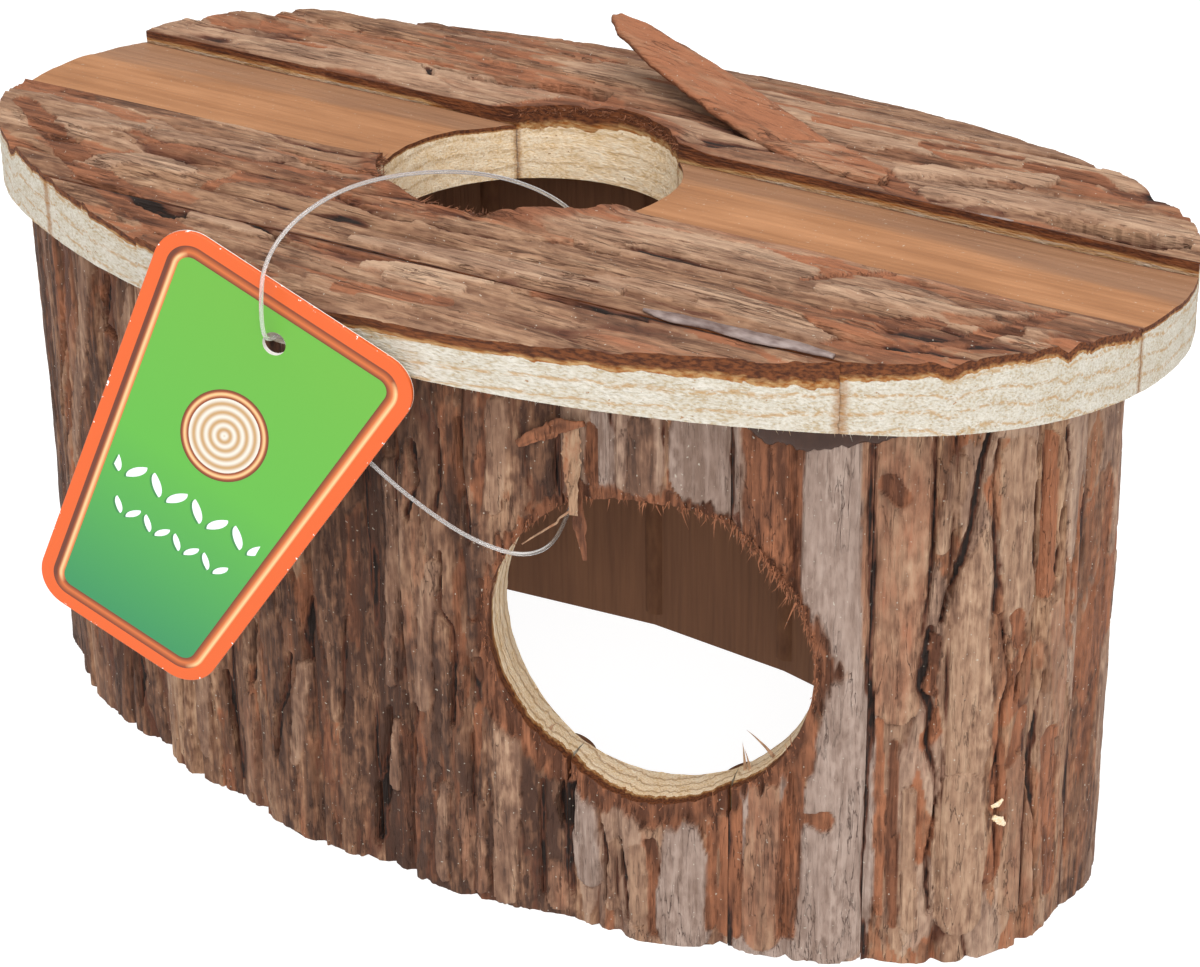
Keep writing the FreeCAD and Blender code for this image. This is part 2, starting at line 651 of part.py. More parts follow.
# The upper right corner reaches furthest along the rim; the card clears the rim there.
corner_half = (card[2] - card[3]).getAngle(card[0] - card[3]) / 2
corner_middle = card[3] + ((card[2] - card[3]).normalize() + (card[0] - card[3]).normalize()
                           ).normalize() * (corner_radius / math.sin(corner_half))
tag_reach = corner_middle.Length + corner_radius
contact_x = size("tag_hole_x") + tag_along.x * tag_reach
contact_y = roof_oval.front_y(contact_x)
back_gap = (size("tag_rim_gap") + size("tag_thickness")) / abs(tag_out.y)
tag_place = Vector(size("tag_hole_x"), contact_y - back_gap - tag_along.y * tag_reach,
                   size("wall_height") + size("tag_hole_rise"))
tag_frame = Rotation(tag_along, Vector(0, 0, 1), tag_out, "ZXY")
tag_body.Placement = Placement(
    tag_place, tag_frame.multiply(Rotation(Vector(0, 0, 1), size("tag_turn"))))
part("card_tag", tag_body)
print("tag hole at", tag_place, "axis", tag_out)


# ---------------------------------------------------------------- nylon loop and snap lock
def loop_path(points):
    """Straight runs joined by tangent arcs; also the list of arc radii."""
    corners = [Vector(*point) for point in points]
    edges = []
    radii = []
    last = corners[0]
    for before, here, after in zip(corners, corners[1:], corners[2:]):
        back = before - here
        ahead = after - here
        turn = math.pi - back.getAngle(ahead)
        cut_back = 0.45 * min(back.Length, ahead.Length)
        radius = cut_back / math.tan(turn / 2)
        radii.append(radius)
        first = here + back.normalize() * cut_back
        second = here + ahead.normalize() * cut_back
        bisector = (back + ahead).normalize()
        middle = here + bisector * (radius / math.cos(turn / 2) - radius)
        edges.append(Part.LineSegment(last, first).toShape())
        edges.append(Part.Arc(first, middle, second).toShape())
        last = second
    edges.append(Part.LineSegment(last, corners[-1]).toShape())
    return Part.Wire(edges), radii


path, loop_radii = loop_path(LOOP_ROUTE)
print("loop length %.1f, radii" % path.Length, [round(radius, 1) for radius in loop_radii])
spine = doc.addObject("Part::Feature", "LoopPath")
spine.Shape = path
section = doc.addObject("Part::Circle", "LoopSection")
bind(section, Radius="Sizes.loop_diameter / 2")
start_direction = path.Edges[0].tangentAt(path.Edges[0].FirstParameter)
section.Placement = Placement(Vector(*LOOP_ROUTE[0]), Rotation(Vector(0, 0, 1), start_direction))
loop = doc.addObject("Part::Sweep", "NylonLoop")
loop.Sections = [section]
loop.Spine = (spine, [])
loop.Solid = True
loop.Frenet = False
part("nylon_loop", loop)

lock_from = Vector(*LOOP_ROUTE[-1])
lock_to = Vector(*LOOP_ROUTE[0])
lock_body = doc.addObject("PartDesign::Body", "LockBody")
lock_sketch = body_sketch(lock_body, "LockProfile", "XZ_Plane")
half_lock = size("lock_length") / 2
barrel = size("lock_diameter") / 2
collar = size("lock_collar_diameter") / 2
half_collar = size("lock_collar_length") / 2
nose = size("loop_diameter")
lock_profile = [Vector(0, -half_lock, 0), Vector(nose, -half_lock, 0),
                Vector(barrel, nose - half_lock, 0), Vector(barrel, -half_collar, 0),
                Vector(collar, -half_collar, 0), Vector(collar, half_collar, 0),
                Vector(barrel, half_collar, 0), Vector(barrel, half_lock - nose, 0),
                Vector(nose, half_lock, 0), Vector(0, half_lock, 0)]
closed_by(lock_sketch, polygon(lock_profile))
lock_turned = lock_body.newObject("PartDesign::Revolution", "LockTurned")
lock_turned.Profile = lock_sketch
lock_turned.ReferenceAxis = (lock_sketch, ["V_Axis"])
lock_turned.Angle = 360.0
lock_axis = lock_to - lock_from
lock_body.Placement = Placement((lock_from + lock_to) / 2, Rotation(Vector(0, 0, 1), lock_axis))
print("lock ends are %.3f apart, lock is %.3f long" % (lock_axis.Length, size("lock_length")))
part("loop_lock", lock_body)

# ---------------------------------------------------------------- check and write
doc.recompute()
for thing in doc.Objects:
    if "Invalid" in thing.State or "Error" in thing.State:
        raise RuntimeError("%s did not recompute: %s" % (thing.Name, thing.State))
for label, thing in parts.items():
    shape = thing.Shape
    if shape.isNull() or not shape.isValid() or not shape.Solids:
        raise RuntimeError("%s has no valid solid" % label)
os.makedirs("parts", exist_ok=True)
for label, thing in parts.items():
    thing.Shape.exportStep("parts/%s.step" % label)
print("wrote %d parts" % len(parts))
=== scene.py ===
"""Wooden hamster house: bark-covered slats, sawn rims, hot glue, a card tag on a nylon loop."""

import math
from collections import namedtuple

import bpy
import numpy as np
from mathutils import Matrix, Vector
from mathutils.geometry import convex_hull_2d


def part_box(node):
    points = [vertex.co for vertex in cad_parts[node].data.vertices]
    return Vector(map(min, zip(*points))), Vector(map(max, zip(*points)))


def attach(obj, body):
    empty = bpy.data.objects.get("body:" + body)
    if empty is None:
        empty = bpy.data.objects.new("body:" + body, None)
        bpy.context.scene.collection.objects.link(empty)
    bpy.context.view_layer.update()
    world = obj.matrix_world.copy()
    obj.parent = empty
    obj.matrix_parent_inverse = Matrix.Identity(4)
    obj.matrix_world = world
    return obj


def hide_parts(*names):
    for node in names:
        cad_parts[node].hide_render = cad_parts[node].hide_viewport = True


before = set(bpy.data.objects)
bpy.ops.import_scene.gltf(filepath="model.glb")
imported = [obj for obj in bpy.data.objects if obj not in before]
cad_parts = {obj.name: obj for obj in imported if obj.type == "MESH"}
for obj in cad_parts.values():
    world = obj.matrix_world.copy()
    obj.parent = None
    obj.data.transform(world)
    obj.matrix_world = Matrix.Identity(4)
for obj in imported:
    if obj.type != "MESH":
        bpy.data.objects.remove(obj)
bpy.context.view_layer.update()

bl_info = {
    "name": "Wooden Hamster House",
    "version": (1, 0, 0),
    "blender": (4, 5, 0),
    "location": "View3D > Sidebar > Hamster House",
    "description": "Finish of a hamster house made of bark-covered slats",
    "category": "Add Mesh",
}

# ---------------------------------------------------------------- measures, in millimetres
MM = 0.001
HOUSE = "house"
TAG = "tag"
ROOF_HOLE = (-4.0, -3.0)
ROOF_HOLE_RADIUS = 27.0
WALL_TOP = 102.0
RING_GIRTH = 546.24
# Ways round the ring of upright slats to their joints, clockwise from the right-hand tip.
JOINTS = (0.0, 43.2, 66.1, 95.0, 132.9, 169.4, 192.5, 237.8, 264.8, 294.8, 327.8, 364.8, 402.8,
          436.8, 466.8, 492.8, 519.8, RING_GIRTH)
# Seam: y at x = 0 and slope.  Crown: height over the wall, y and radius.
FRONT_SEAM = (-49.5, 0.0349)
BARK_SEAM = (-12.0, 0.0349)
BARE_SEAM = (17.2, 0.0)
REAR_SEAM = (47.5, 0.0)
ROOF_SLATS = {
    "roof_slat_front_edge": ((12.0, -43.0, 85.0), None, FRONT_SEAM, ()),
    "roof_slat_front": ((13.0, -31.0, 150.0), FRONT_SEAM, BARK_SEAM,
                        ((-30.0, 0.0612), (-41.0, 0.0349))),
    "roof_slat_bare_left": ((11.0, 2.5, 600.0), BARK_SEAM, BARE_SEAM, ()),
    "roof_slat_bare_right": ((11.0, 2.5, 600.0), BARK_SEAM, BARE_SEAM, ()),
    "roof_slat_rear": ((14.2, 34.0, 130.0), BARE_SEAM, REAR_SEAM,
                       ((31.0, 0.0349), (40.0, 0.0175))),
    "roof_slat_rear_edge": ((13.2, 44.0, 90.0), REAR_SEAM, None, ()),
}
# Where along a slat the saw has shown how much of its bark: the front edge is cut slantwise.
BARK_DEPTHS = {
    "roof_slat_front_edge": ((-60, 40, 80), (1.4, 2.5, 4.2)),
    "roof_slat_front": ((-105, -80, 60, 82, 106), (1.0, 1.6, 2.0, 3.6, 1.8)),
    "roof_slat_rear": ((-44, -30, 14, 30), (2.0, 4.6, 4.0, 2.0)),
}
FURROW_DEPTH = 1.4
FURROW_REACH = 1.7
# The roof is sawn this far inside the CAD's oval, which leaves room for the saw's torn fibres.
SAW_MARGIN = 0.15
SHARP_ANGLE = math.radians(55.0)
DOOR_RADIUS = 28.0
DOOR_MIDDLE = np.array((50.31, -43.97, 55.0))
DOOR_FACING = math.radians(-71.0)
DOOR_AXIS = np.array((math.cos(DOOR_FACING), math.sin(DOOR_FACING), 0.0))
# How far behind its middle the bore still counts, short of the back wall, and what is far from it.
DOOR_DEPTH = 30.0
FAR_AWAY = 99.0
TAG_HOLE = (-1.9, -74.794, 106.1)
TAG_FACING = math.radians(-72.0)
TAG_TURN = math.radians(-29.4)
TAG_TOP_WIDTH = 49.4
TAG_BOTTOM_WIDTH = 33.5
TAG_ABOVE_HOLE = 9.4
TAG_BELOW_HOLE = 66.9
TAG_CORNER_RADIUS = 6.5
TAG_THICKNESS = 1.0
TAG_HOLE_RADIUS = 2.0
LOOP_DIAMETER = 0.7
# The loop's way, given point by point: lock, roof hole, over the rim, card, entrance and back to the
# lock.
LOOP_ROUTE = [
    (12.0, -5.0, 96.5), (12.0, -5.0, 104.5), (9.4, -12.6, 113.8), (6.4, -26.0, 121.6),
    (3.6, -41.5, 126.4), (1.0, -57.5, 128.4), (-0.4, -70.0, 126.2), (-1.2, -76.8, 121.0),
    (-0.8, -78.7, 114.2), (-0.7, -78.4, 107.7), (-2.8, -71.5, 106.9), (-2.7, -69.1, 100.0),
    (0.8, -65.9, 90.6), (7.6, -63.2, 82.4), (17.2, -61.9, 76.6), (26.6, -61.2, 73.2),
    (33.8, -58.0, 71.0), (33.6, -49.4, 69.2), (29.2, -39.0, 69.4), (23.6, -26.4, 71.2),
    (17.4, -14.0, 74.4), (12.0, -5.0, 79.5), (12.0, -5.0, 87.5),
]
STRIP_LENGTH = 79.0
STRIP_WIDTH = 12.0
STRIP_TIP_WIDTH = 5.5
STRIP_THICKNESS = 1.8
STRIP_FOOT = 24.0
STRIP_RISE = 9.5
STRIP_BITE = 0.8
STRIP_ROOT = (54.0, 20.5)
STRIP_ANGLE = math.radians(160.0)
CAMERA_PLACE = (297.99, -406.77, 295.27)
CAMERA_TARGET = (3.759, -0.557, 60.0)
CAMERA_ROLL = math.radians(-0.904)
CAMERA_LENS = 90.97
CAMERA_SHIFT = (0.0184, -0.0282)


def linear(hexa):
    """Linear colour of an sRGB hex value."""
    parts = [int(hexa[k:k + 2], 16) / 255 for k in (1, 3, 5)]
    return tuple(c / 12.92 if c <= 0.04045 else ((c + 0.055) / 1.055) ** 2.4 for c in parts)


# ---------------------------------------------------------------- repeatable noise
# Callers give places in millimetres, divided by the size that a bump shall have.
def scatter(column, row, seed):
    """Repeatable number from 0 to 1 for each pair of whole numbers."""
    mixed = (column.astype(np.int64) * 374761393 + row.astype(np.int64) * 668265263
             + seed * 97463477) & 0xFFFFFFFF
    mixed = ((mixed ^ (mixed >> 13)) * 1274126177) & 0xFFFFFFFF
    return ((mixed ^ (mixed >> 16)) & 0xFFFFFF) / 0xFFFFFF


def smooth(low, high, value):
    """0 below low, 1 above high, with a soft step between."""
    share = np.clip((value - low) / (high - low), 0, 1)
    return share * share * (3 - 2 * share)


def around(turn):
    """Points of the unit circle at the given turns."""
    return np.stack([np.cos(turn), np.sin(turn)], -1)


def at_level(plan, level):
    """Points of a plan, all at one level."""
    return np.column_stack([plan, np.full(len(plan), level)])


def hull(points):
    """Corners of the outline that goes round points of a plane."""
    return points[convex_hull_2d([Vector(p) for p in points])]


def unit(vectors):
    return vectors / np.linalg.norm(vectors, axis=-1, keepdims=True)


def noise(u, v, seed):
    """Smooth noise from 0 to 1 with one bump per unit."""
    column, row = np.floor(u), np.floor(v)
    right, up = smooth(0, 1, u - column), smooth(0, 1, v - row)
    low = scatter(column, row, seed) * (1 - right) + scatter(column + 1, row, seed) * right
    high = scatter(column, row + 1, seed) * (1 - right) + scatter(column + 1, row + 1, seed) * right
    return low * (1 - up) + high * up


def layered(u, v, seed, octaves=4):
    """Noise from -0.5 to 0.5 with finer and finer bumps."""
    total = 0.0
    weight = 1.0
    for octave in range(octaves):
        total = total + weight * (noise(u * 2 ** octave, v * 2 ** octave, seed + octave) - 0.5)
        weight *= 0.55
    return total / 1.6


def cells(u, v, seed):
    """Gap to the border of the cell round each point, and the cell's own column and row."""
    column, row = np.floor(u), np.floor(v)
    nearest = np.full(u.shape, 9.0)
    second = nearest.copy()
    own_column, own_row = column.copy(), row.copy()
    for step_u in (-1, 0, 1):
        for step_v in (-1, 0, 1):
            c, r = column + step_u, row + step_v
            apart = np.hypot(u - c - 0.1 - 0.8 * scatter(c, r, seed),
                             v - r - 0.05 - 0.9 * scatter(c, r, seed + 1))
            closer = apart < nearest
            second = np.where(closer, nearest, np.minimum(second, apart))
            own_column = np.where(closer, c, own_column)
            own_row = np.where(closer, r, own_row)
            nearest = np.where(closer, apart, nearest)
    return second - nearest, own_column, own_row


# ---------------------------------------------------------------- bark
# A look: width and length of a plate, width of its cracks, step between plates, shares of colour.
# A finish: relief in millimetres, and what the materials read at each point.
Look = namedtuple("Look", "width length crack step tone rust grey fibre")
Finish = namedtuple("Finish", "height tone rust grey crack")

PLATED = Look(9.0, 52.0, 0.30, 0.6, 0.02, 0.20, 0.25, 0.20)
STRINGY = Look(6.0, 90.0, 0.06, 0.5, -0.22, 0.22, 0.05, 0.26)
ROOF_PLATED = Look(7.0, 85.0, 0.36, 0.8, 0.10, 0.28, 0.12, 0.13)
ROOF_EDGE = Look(4.5, 70.0, 0.40, 0.8, 0.04, 0.40, 0.05, 0.20)


def bark(across, along, seed, look):
    """Relief and finish of bark at places across and along its grain."""
    broad = layered(across / 14, along / 60, seed)
    fine = layered(across / 2.2, along / 9, seed + 3)
    wander = across + 9 * layered(across / 12, along / 32, seed + 6) + 1.2 * fine
    slide = along + 22 * layered(across / 5, along / 90, seed + 5, 2)
    # Plates are cells whose borders wander along the grain, each with a level and hue of its own.
    gap, column, row = cells(wander / look.width, slide / look.length, seed + 7)
    border = gap * look.width / 2
    level, hue, age = (scatter(column, row, seed + k) for k in (11, 12, 13))
    # Some stretches of the borders have opened into cracks.
    present = smooth(0.35, 0.6, noise(across / 8, along / 24, seed + 14))
    opening = look.crack * smooth(0.35, 0.9, noise(across / 10, along / 20, seed + 15))
    present = present * (0.55 + opening)
    crack = present * (1 - smooth(0.0, 0.5 + 1.6 * opening, border + 0.2 * fine))
    # Smaller flakes have come off and left reddish hollows with a lip, which is also painted darker as a
    # shadow line.
    flake_gap, column, row = cells((wander + 1.2 * fine) / (look.width * 0.5),
                                   (slide + 5 * fine) / (look.length * 0.3), seed + 17)
    flaked = np.where(scatter(column, row, seed + 19) < look.rust, 1.0, 0.0)
    flaked = flaked * smooth(0.0, 0.08, flake_gap)
    lip = (1 - smooth(0.0, 0.05, flake_gap)) * noise(across / 4, along / 12, seed + 21)
    streak = layered(across / 0.9, along / 13, seed + 23, 3)
    grit = layered(across / 0.8, along / 1.6, seed + 29, 2)
    height = (-0.05 + 1.2 * broad + look.step * (level - 0.5) + look.fibre * streak + 0.10 * grit
              + 0.25 * fine - 0.25 * flaked - 0.2 * lip - (0.7 + 0.9 * opening) * crack)
    tone = (0.5 + look.tone + 0.26 * (hue - 0.5) + 2.4 * look.fibre * streak + 0.25 * grit + 0.3 * fine
            + 0.35 * broad - 0.15 * lip)
    rust = np.clip(0.5 * flaked + 0.35 * smooth(0.55, 1.0, age) + 0.5 * streak, 0, 1)
    grey = look.grey * smooth(0.35, 0.75, hue) * (1 - flaked)
    return Finish(height, tone, rust, grey, crack)


def door_distance(points):
    """How far points lie outside the entrance's bore; the back of the house is far from it."""
    away = points - DOOR_MIDDLE
    ahead = away @ DOOR_AXIS
    away = away - np.outer(ahead, DOOR_AXIS)
    apart = np.linalg.norm(away, axis=1) - DOOR_RADIUS
    return apart + FAR_AWAY * (ahead < -DOOR_DEPTH), away


# ---------------------------------------------------------------- marks on the bark
# Marks on the wall: kind, tone and (way round the ring, height, half width) along each.
WALL_STROKES = [
    ("grey", 0.54, [(50.1, 94.2, 6.0), (49.8, 82.9, 6.1), (49.2, 70.8, 6.0), (48.2, 58.4, 5.8),
     (45.8, 48.5, 4.2), (46.7, 42.0, 5.0), (47.1, 32.8, 6.0), (47.3, 19.5, 6.4), (48.5, 6.4, 6.6)]),
    ("torn", 0.45, [(52.6, 28.3, 1.0), (50.1, 28.0, 1.9), (49.2, 27.3, 0.8)]),
    ("torn", 0.42, [(57.1, 95.4, 3.0), (56.6, 82.3, 2.4), (55.9, 70.2, 1.6), (54.9, 61.6, 1.2),
     (53.4, 54.2, 1.6), (53.8, 45.2, 2.6), (54.5, 37.9, 2.8)]),
    ("pink", 0.62, [(39.5, 96.0, 6.0), (39.4, 77.5, 5.6), (39.2, 59.0, 5.2), (38.9, 50.1, 4.0)]),
    ("torn", 0.35, [(40.6, 88.9, 1.8), (38.9, 87.1, 1.5)]),
    ("crack", 0, [(43.4, 95.8, 0.5), (43.6, 89.2, 0.3), (43.6, 81.4, 0.6), (43.3, 69.9, 0.4),
     (43.2, 62.5, 0.3), (43.0, 55.0, 0.5), (42.6, 46.2, 0.4), (42.6, 39.1, 0.3)]),
    ("torn", 0.18, [(38.7, 42.4, 0.7), (38.6, 30.0, 1.0), (38.6, 20.1, 1.1), (37.9, 7.9, 0.9)]),
    ("torn", 0.5, [(41.3, 46.2, 0.8), (40.8, 30.0, 0.9), (40.5, 9.9, 0.8)]),
    ("tan", 0.6, [(35.9, 33.3, 1.3), (35.7, 20.0, 1.4), (35.2, 7.8, 1.4)]),
    ("crack", 0, [(33.7, 98.2, 0.3), (33.6, 89.4, 0.3), (33.5, 78.6, 0.3), (34.0, 70.0, 0.4),
     (34.8, 62.7, 0.5)]),
    ("crack", 0, [(24.6, 98.4, 0.5), (26.0, 93.3, 0.7), (26.6, 87.5, 0.6), (27.2, 81.5, 0.6),
     (28.7, 75.1, 0.7), (30.4, 69.8, 0.5), (31.6, 64.9, 0.5)]),
    ("crack", 0, [(33.3, 63.8, 0.7), (33.9, 58.9, 1.2), (34.3, 53.2, 1.1), (32.7, 48.6, 0.5),
     (33.4, 42.9, 0.4), (31.4, 35.6, 0.5), (31.4, 29.0, 0.4), (32.6, 21.2, 0.3),
     (31.8, 10.3, 0.3)]),
    ("torn", 0.3, [(32.4, 61.9, 1.0), (31.9, 57.5, 1.3), (32.9, 53.1, 1.5)]),
    ("tan", 0.62, [(29.4, 92.6, 1.8), (30.8, 85.6, 1.6), (31.6, 78.4, 1.2)]),
    ("tan", 0.68, [(24.8, 80.6, 0.6), (26.3, 73.5, 2.4), (27.6, 64.5, 3.6), (27.2, 54.4, 4.6),
     (26.2, 45.3, 4.2), (26.5, 36.9, 3.2)]),
    ("tan", 0.66, [(26.9, 33.7, 3.6), (27.1, 22.4, 4.6), (26.5, 9.5, 4.0)]),
    ("crack", 0, [(23.2, 96.4, 0.3), (23.8, 90.0, 0.3), (23.2, 80.3, 0.5), (22.2, 70.9, 0.5),
     (22.6, 66.1, 0.3)]),
    ("crack", 0, [(21.3, 65.2, 0.3), (20.0, 57.9, 0.4), (18.9, 52.6, 0.3), (20.3, 48.5, 0.3),
     (20.4, 40.8, 0.4), (21.2, 33.8, 0.3)]),
    ("crack", 0, [(20.2, 36.8, 0.3), (20.4, 25.6, 0.4), (19.5, 13.2, 0.3)]),
    ("tan", 0.64, [(19.4, 93.3, 3.2), (19.0, 81.2, 3.3), (18.0, 69.9, 3.4), (18.3, 62.5, 2.2)]),
    ("torn", 0.5, [(18.4, 64.4, 1.4), (17.4, 59.8, 1.6)]),
    ("crack", 0, [(15.6, 87.6, 0.3), (15.4, 77.9, 0.4), (14.4, 68.9, 0.5), (14.2, 63.9, 0.5),
     (14.9, 58.4, 0.5), (16.3, 54.4, 0.4), (17.5, 49.0, 0.3)]),
    ("orange", 0.6, [(12.9, 93.4, 2.0), (12.3, 82.4, 2.2), (11.4, 67.4, 2.1)]),
    ("crack", 0, [(8.7, 94.6, 0.5), (7.0, 86.8, 0.5), (8.4, 80.5, 0.7), (8.8, 73.3, 0.6),
     (8.9, 69.0, 0.3)]),
    ("crack", 0, [(-4.4, 89.8, 0.5), (-1.0, 83.8, 0.5), (1.6, 75.5, 0.6), (3.2, 66.2, 0.7),
     (2.9, 57.8, 0.4)]),
    ("crack", 0, [(-2.3, 52.2, 0.4), (-0.7, 42.5, 0.4), (0.1, 34.3, 0.3)]),
    ("pink", 0.62, [(16.8, 36.4, 2.0), (15.4, 26.1, 3.2), (14.4, 10.1, 3.3)]),
    ("torn", 0.52, [(15.5, 45.2, 1.6), (17.0, 40.4, 1.3), (18.5, 37.0, 0.8)]),
    ("crack", 0, [(11.0, 51.4, 0.3), (11.9, 44.6, 0.3), (12.9, 35.1, 0.4), (11.2, 22.5, 0.3),
     (9.8, 6.9, 0.3)]),
    ("pink", 0.7, [(8.5, 61.9, 2.2), (6.7, 51.0, 2.6), (5.6, 38.8, 2.0)]),
    ("tan", 0.66, [(0.7, 58.8, 0.9), (-0.7, 52.3, 0.9)]),
    ("torn", 0.5, [(8.3, 38.0, 2.6), (7.3, 26.3, 2.4), (4.7, 8.0, 2.0)]),
    ("torn", 0.12, [(7.3, 20.1, 0.7), (6.2, 13.5, 1.0), (6.7, 7.5, 0.9)]),
    ("tan", 0.75, [(-0.9, 30.4, 1.0), (-0.8, 21.0, 1.2), (-1.0, 11.3, 1.0)]),
    ("torn", 0.6, [(-12.5, 13.3, 1.2), (-12.5, 11.3, 1.2)]),
    ("tan", 0.55, [(105.3, 95.7, 1.7), (105.9, 87.4, 1.9), (106.5, 77.6, 1.5)]),
    ("crack", 0, [(116.9, 88.9, 0.4), (117.0, 78.6, 0.5), (118.2, 73.0, 0.3)]),
    ("crack", 0, [(113.1, 91.6, 0.3), (112.4, 82.8, 0.5), (111.4, 74.6, 0.5), (111.3, 70.0, 0.3)]),
    ("crack", 0, [(122.3, 85.1, 0.7), (121.2, 78.9, 0.5), (124.0, 71.6, 0.4)]),
    ("crack", 0, [(117.1, 66.7, 0.5), (117.5, 55.9, 0.6), (115.4, 53.0, 0.5), (115.0, 47.7, 0.4),
     (116.1, 34.2, 0.4)]),
    ("crack", 0, [(110.5, 47.4, 1.1), (111.0, 43.2, 0.9), (110.5, 37.8, 0.4)]),
    ("torn", 0.5, [(110.4, 39.2, 0.7), (111.4, 32.0, 1.2), (111.9, 25.5, 0.7)]),
    ("tan", 0.52, [(126.9, 64.9, 1.4), (128.6, 52.2, 1.2), (129.8, 38.0, 1.0)]),
    ("tan", 0.52, [(118.3, 63.8, 1.3), (120.5, 53.1, 1.5), (121.9, 36.8, 1.6)]),
    ("tan", 0.5, [(129.6, 26.7, 1.2), (130.8, 17.6, 0.8)]),
    ("crack", 0, [(130.4, 32.1, 0.5), (131.1, 26.2, 0.9), (132.7, 18.5, 0.4)]),
    ("crack", 0, [(132.7, 16.3, 0.8), (133.4, 9.4, 1.1), (133.9, 4.1, 0.8)]),
    ("crack", 0, [(123.6, 35.6, 0.3), (124.5, 26.8, 0.5), (125.4, 17.9, 0.3)]),
    ("tan", 0.6, [(105.3, 38.4, 2.3), (105.4, 23.7, 2.4), (106.7, 2.5, 2.2)]),
    ("tan", 0.5, [(117.8, 21.0, 1.2), (119.1, 9.0, 1.3), (118.9, 2.4, 1.0)]),
    ("pink", 0.4, [(112.5, 18.2, 2.6), (112.3, 3.7, 2.6)]),
    ("crack", 0, [(99.2, 26.7, 0.4), (99.6, 14.5, 0.5), (99.7, 3.6, 0.4)]),
    ("gash", 0, [(94.6, 27.4, 1.0), (95.0, 22.8, 1.6), (94.7, 18.6, 0.9)]),
    ("crack", 0, [(94.9, 18.6, 0.6), (94.5, 12.2, 0.5), (94.5, 5.0, 0.4)]),
    ("pink", 0.6, [(97.2, 10.1, 1.2), (96.7, 3.4, 2.4)]),
    ("grey", 0.35, [(91.7, 26.3, 2.0), (91.5, 18.6, 2.9), (90.9, 10.2, 2.6)]),
    ("crack", 0, [(88.2, 20.8, 0.4), (87.3, 13.9, 0.6), (86.9, 6.8, 0.5)]),
    ("crack", 0, [(84.7, 18.7, 0.5), (83.9, 11.8, 0.7), (83.3, 3.3, 0.5)]),
    ("tan", 0.5, [(85.7, 17.1, 1.2), (85.8, 5.6, 1.3)]),
    ("tan", 0.52, [(81.5, 17.3, 1.6), (81.4, 4.4, 1.6)]),
    ("torn", 0.25, [(79.0, 19.9, 0.9), (78.1, 12.3, 1.2), (78.1, 2.2, 1.0)]),
    ("grey", 0.48, [(73.7, 21.5, 3.0), (73.1, 14.6, 4.6), (73.4, 3.1, 4.6)]),
    ("torn", 0.35, [(68.5, 25.2, 0.6), (68.7, 15.4, 0.7), (69.0, 3.9, 0.9)]),
    ("torn", 0.5, [(65.2, 28.5, 1.6), (65.4, 18.0, 2.0), (65.6, 3.8, 2.2)]),
    ("pink", 0.5, [(59.6, 34.7, 2.4), (59.7, 22.3, 3.4), (60.1, 4.6, 3.4)]),
    ("torn", 0.42, [(54.6, 40.0, 1.6), (55.0, 26.4, 1.8), (55.9, 5.2, 1.6)]),
    ("grey", 0.38, [(87.3, 96.3, 1.6), (86.8, 83.8, 1.8)]),
    ("tan", 0.3, [(80.4, 96.1, 2.2), (80.5, 84.2, 2.4)]),
    ("grey", 0.40, [(70.2, 96.7, 5.4), (70.2, 88.7, 5.6), (69.0, 83.9, 4.0)]),
    ("torn", 0.3, [(62.8, 96.9, 1.6), (60.5, 89.2, 3.4), (61.0, 79.7, 3.4), (58.0, 71.2, 2.6),
     (55.6, 63.1, 1.6)]),
    ("torn", 0.35, [(56.7, 96.3, 2.0), (56.2, 84.0, 2.0), (56.7, 77.7, 1.8)]),
    ("torn", 0.25, [(89.1, 94.1, 1.2), (89.1, 84.7, 1.4)]),
    ("crack", 0, [(151.3, 37.2, 0.4), (152.3, 31.0, 0.9), (155.0, 23.1, 0.6), (156.3, 14.8, 0.4)]),
    ("crack", 0, [(146.4, 48.9, 0.4), (147.4, 41.9, 0.9), (147.2, 36.9, 0.4)]),
    ("tan", 0.5, [(148.3, 35.7, 1.4), (149.6, 25.1, 1.6), (151.4, 15.8, 1.0)]),
    ("crack", 0, [(160.7, 39.9, 0.3), (162.5, 32.4, 0.9), (164.2, 26.6, 0.3)]),
    ("pink", 0.5, [(165.1, 22.7, 1.4), (165.5, 12.9, 1.8), (165.7, 3.9, 1.4)]),
    ("tan", 0.55, [(176.7, 23.4, 1.6), (177.8, 14.1, 1.8), (177.9, 6.9, 1.2)]),
    ("crack", 0, [(171.4, 25.5, 0.6), (170.0, 15.5, 0.6), (169.3, 4.2, 0.5)]),
    ("crack", 0, [(201.6, 17.4, 0.6), (201.3, 11.1, 0.9), (201.7, 6.3, 0.4)]),
    ("crack", 0, [(183.7, 20.6, 0.4), (184.3, 10.5, 0.5)]),
    ("tan", 0.55, [(189.0, 18.3, 2.2), (189.2, 11.0, 1.8)]),
    ("tan", 0.45, [(127.8, 79.6, 1.6), (126.3, 67.6, 2.3), (128.7, 55.0, 1.6)]),
    ("crack", 0, [(130.8, 31.4, 0.6), (131.1, 22.9, 0.8), (132.7, 13.8, 0.9), (133.4, 4.8, 0.6)]),
    ("tan", 0.5, [(128.6, 30.4, 0.9), (129.7, 17.3, 1.2)]),
    ("crack", 0, [(138.7, 48.0, 0.3), (139.5, 35.3, 0.4), (140.5, 26.5, 0.3)]),
    ("torn", 0.22, [(198.0, 99.0, 1.6), (201.5, 88.0, 1.0), (199.9, 75.0, 1.9), (202.2, 66.0, 1.1),
     (204.0, 56.0, 0.7)]),
    ("torn", 0.2, [(216.0, 99.0, 1.7), (217.2, 86.0, 2.3), (220.9, 74.0, 1.3), (222.6, 63.0, 2.0),
     (227.0, 52.0, 1.0)]),
    ("crack", 0, [(220.5, 92.5, 1.0), (223.1, 77.3, 1.1), (229.3, 57.6, 0.9)]),
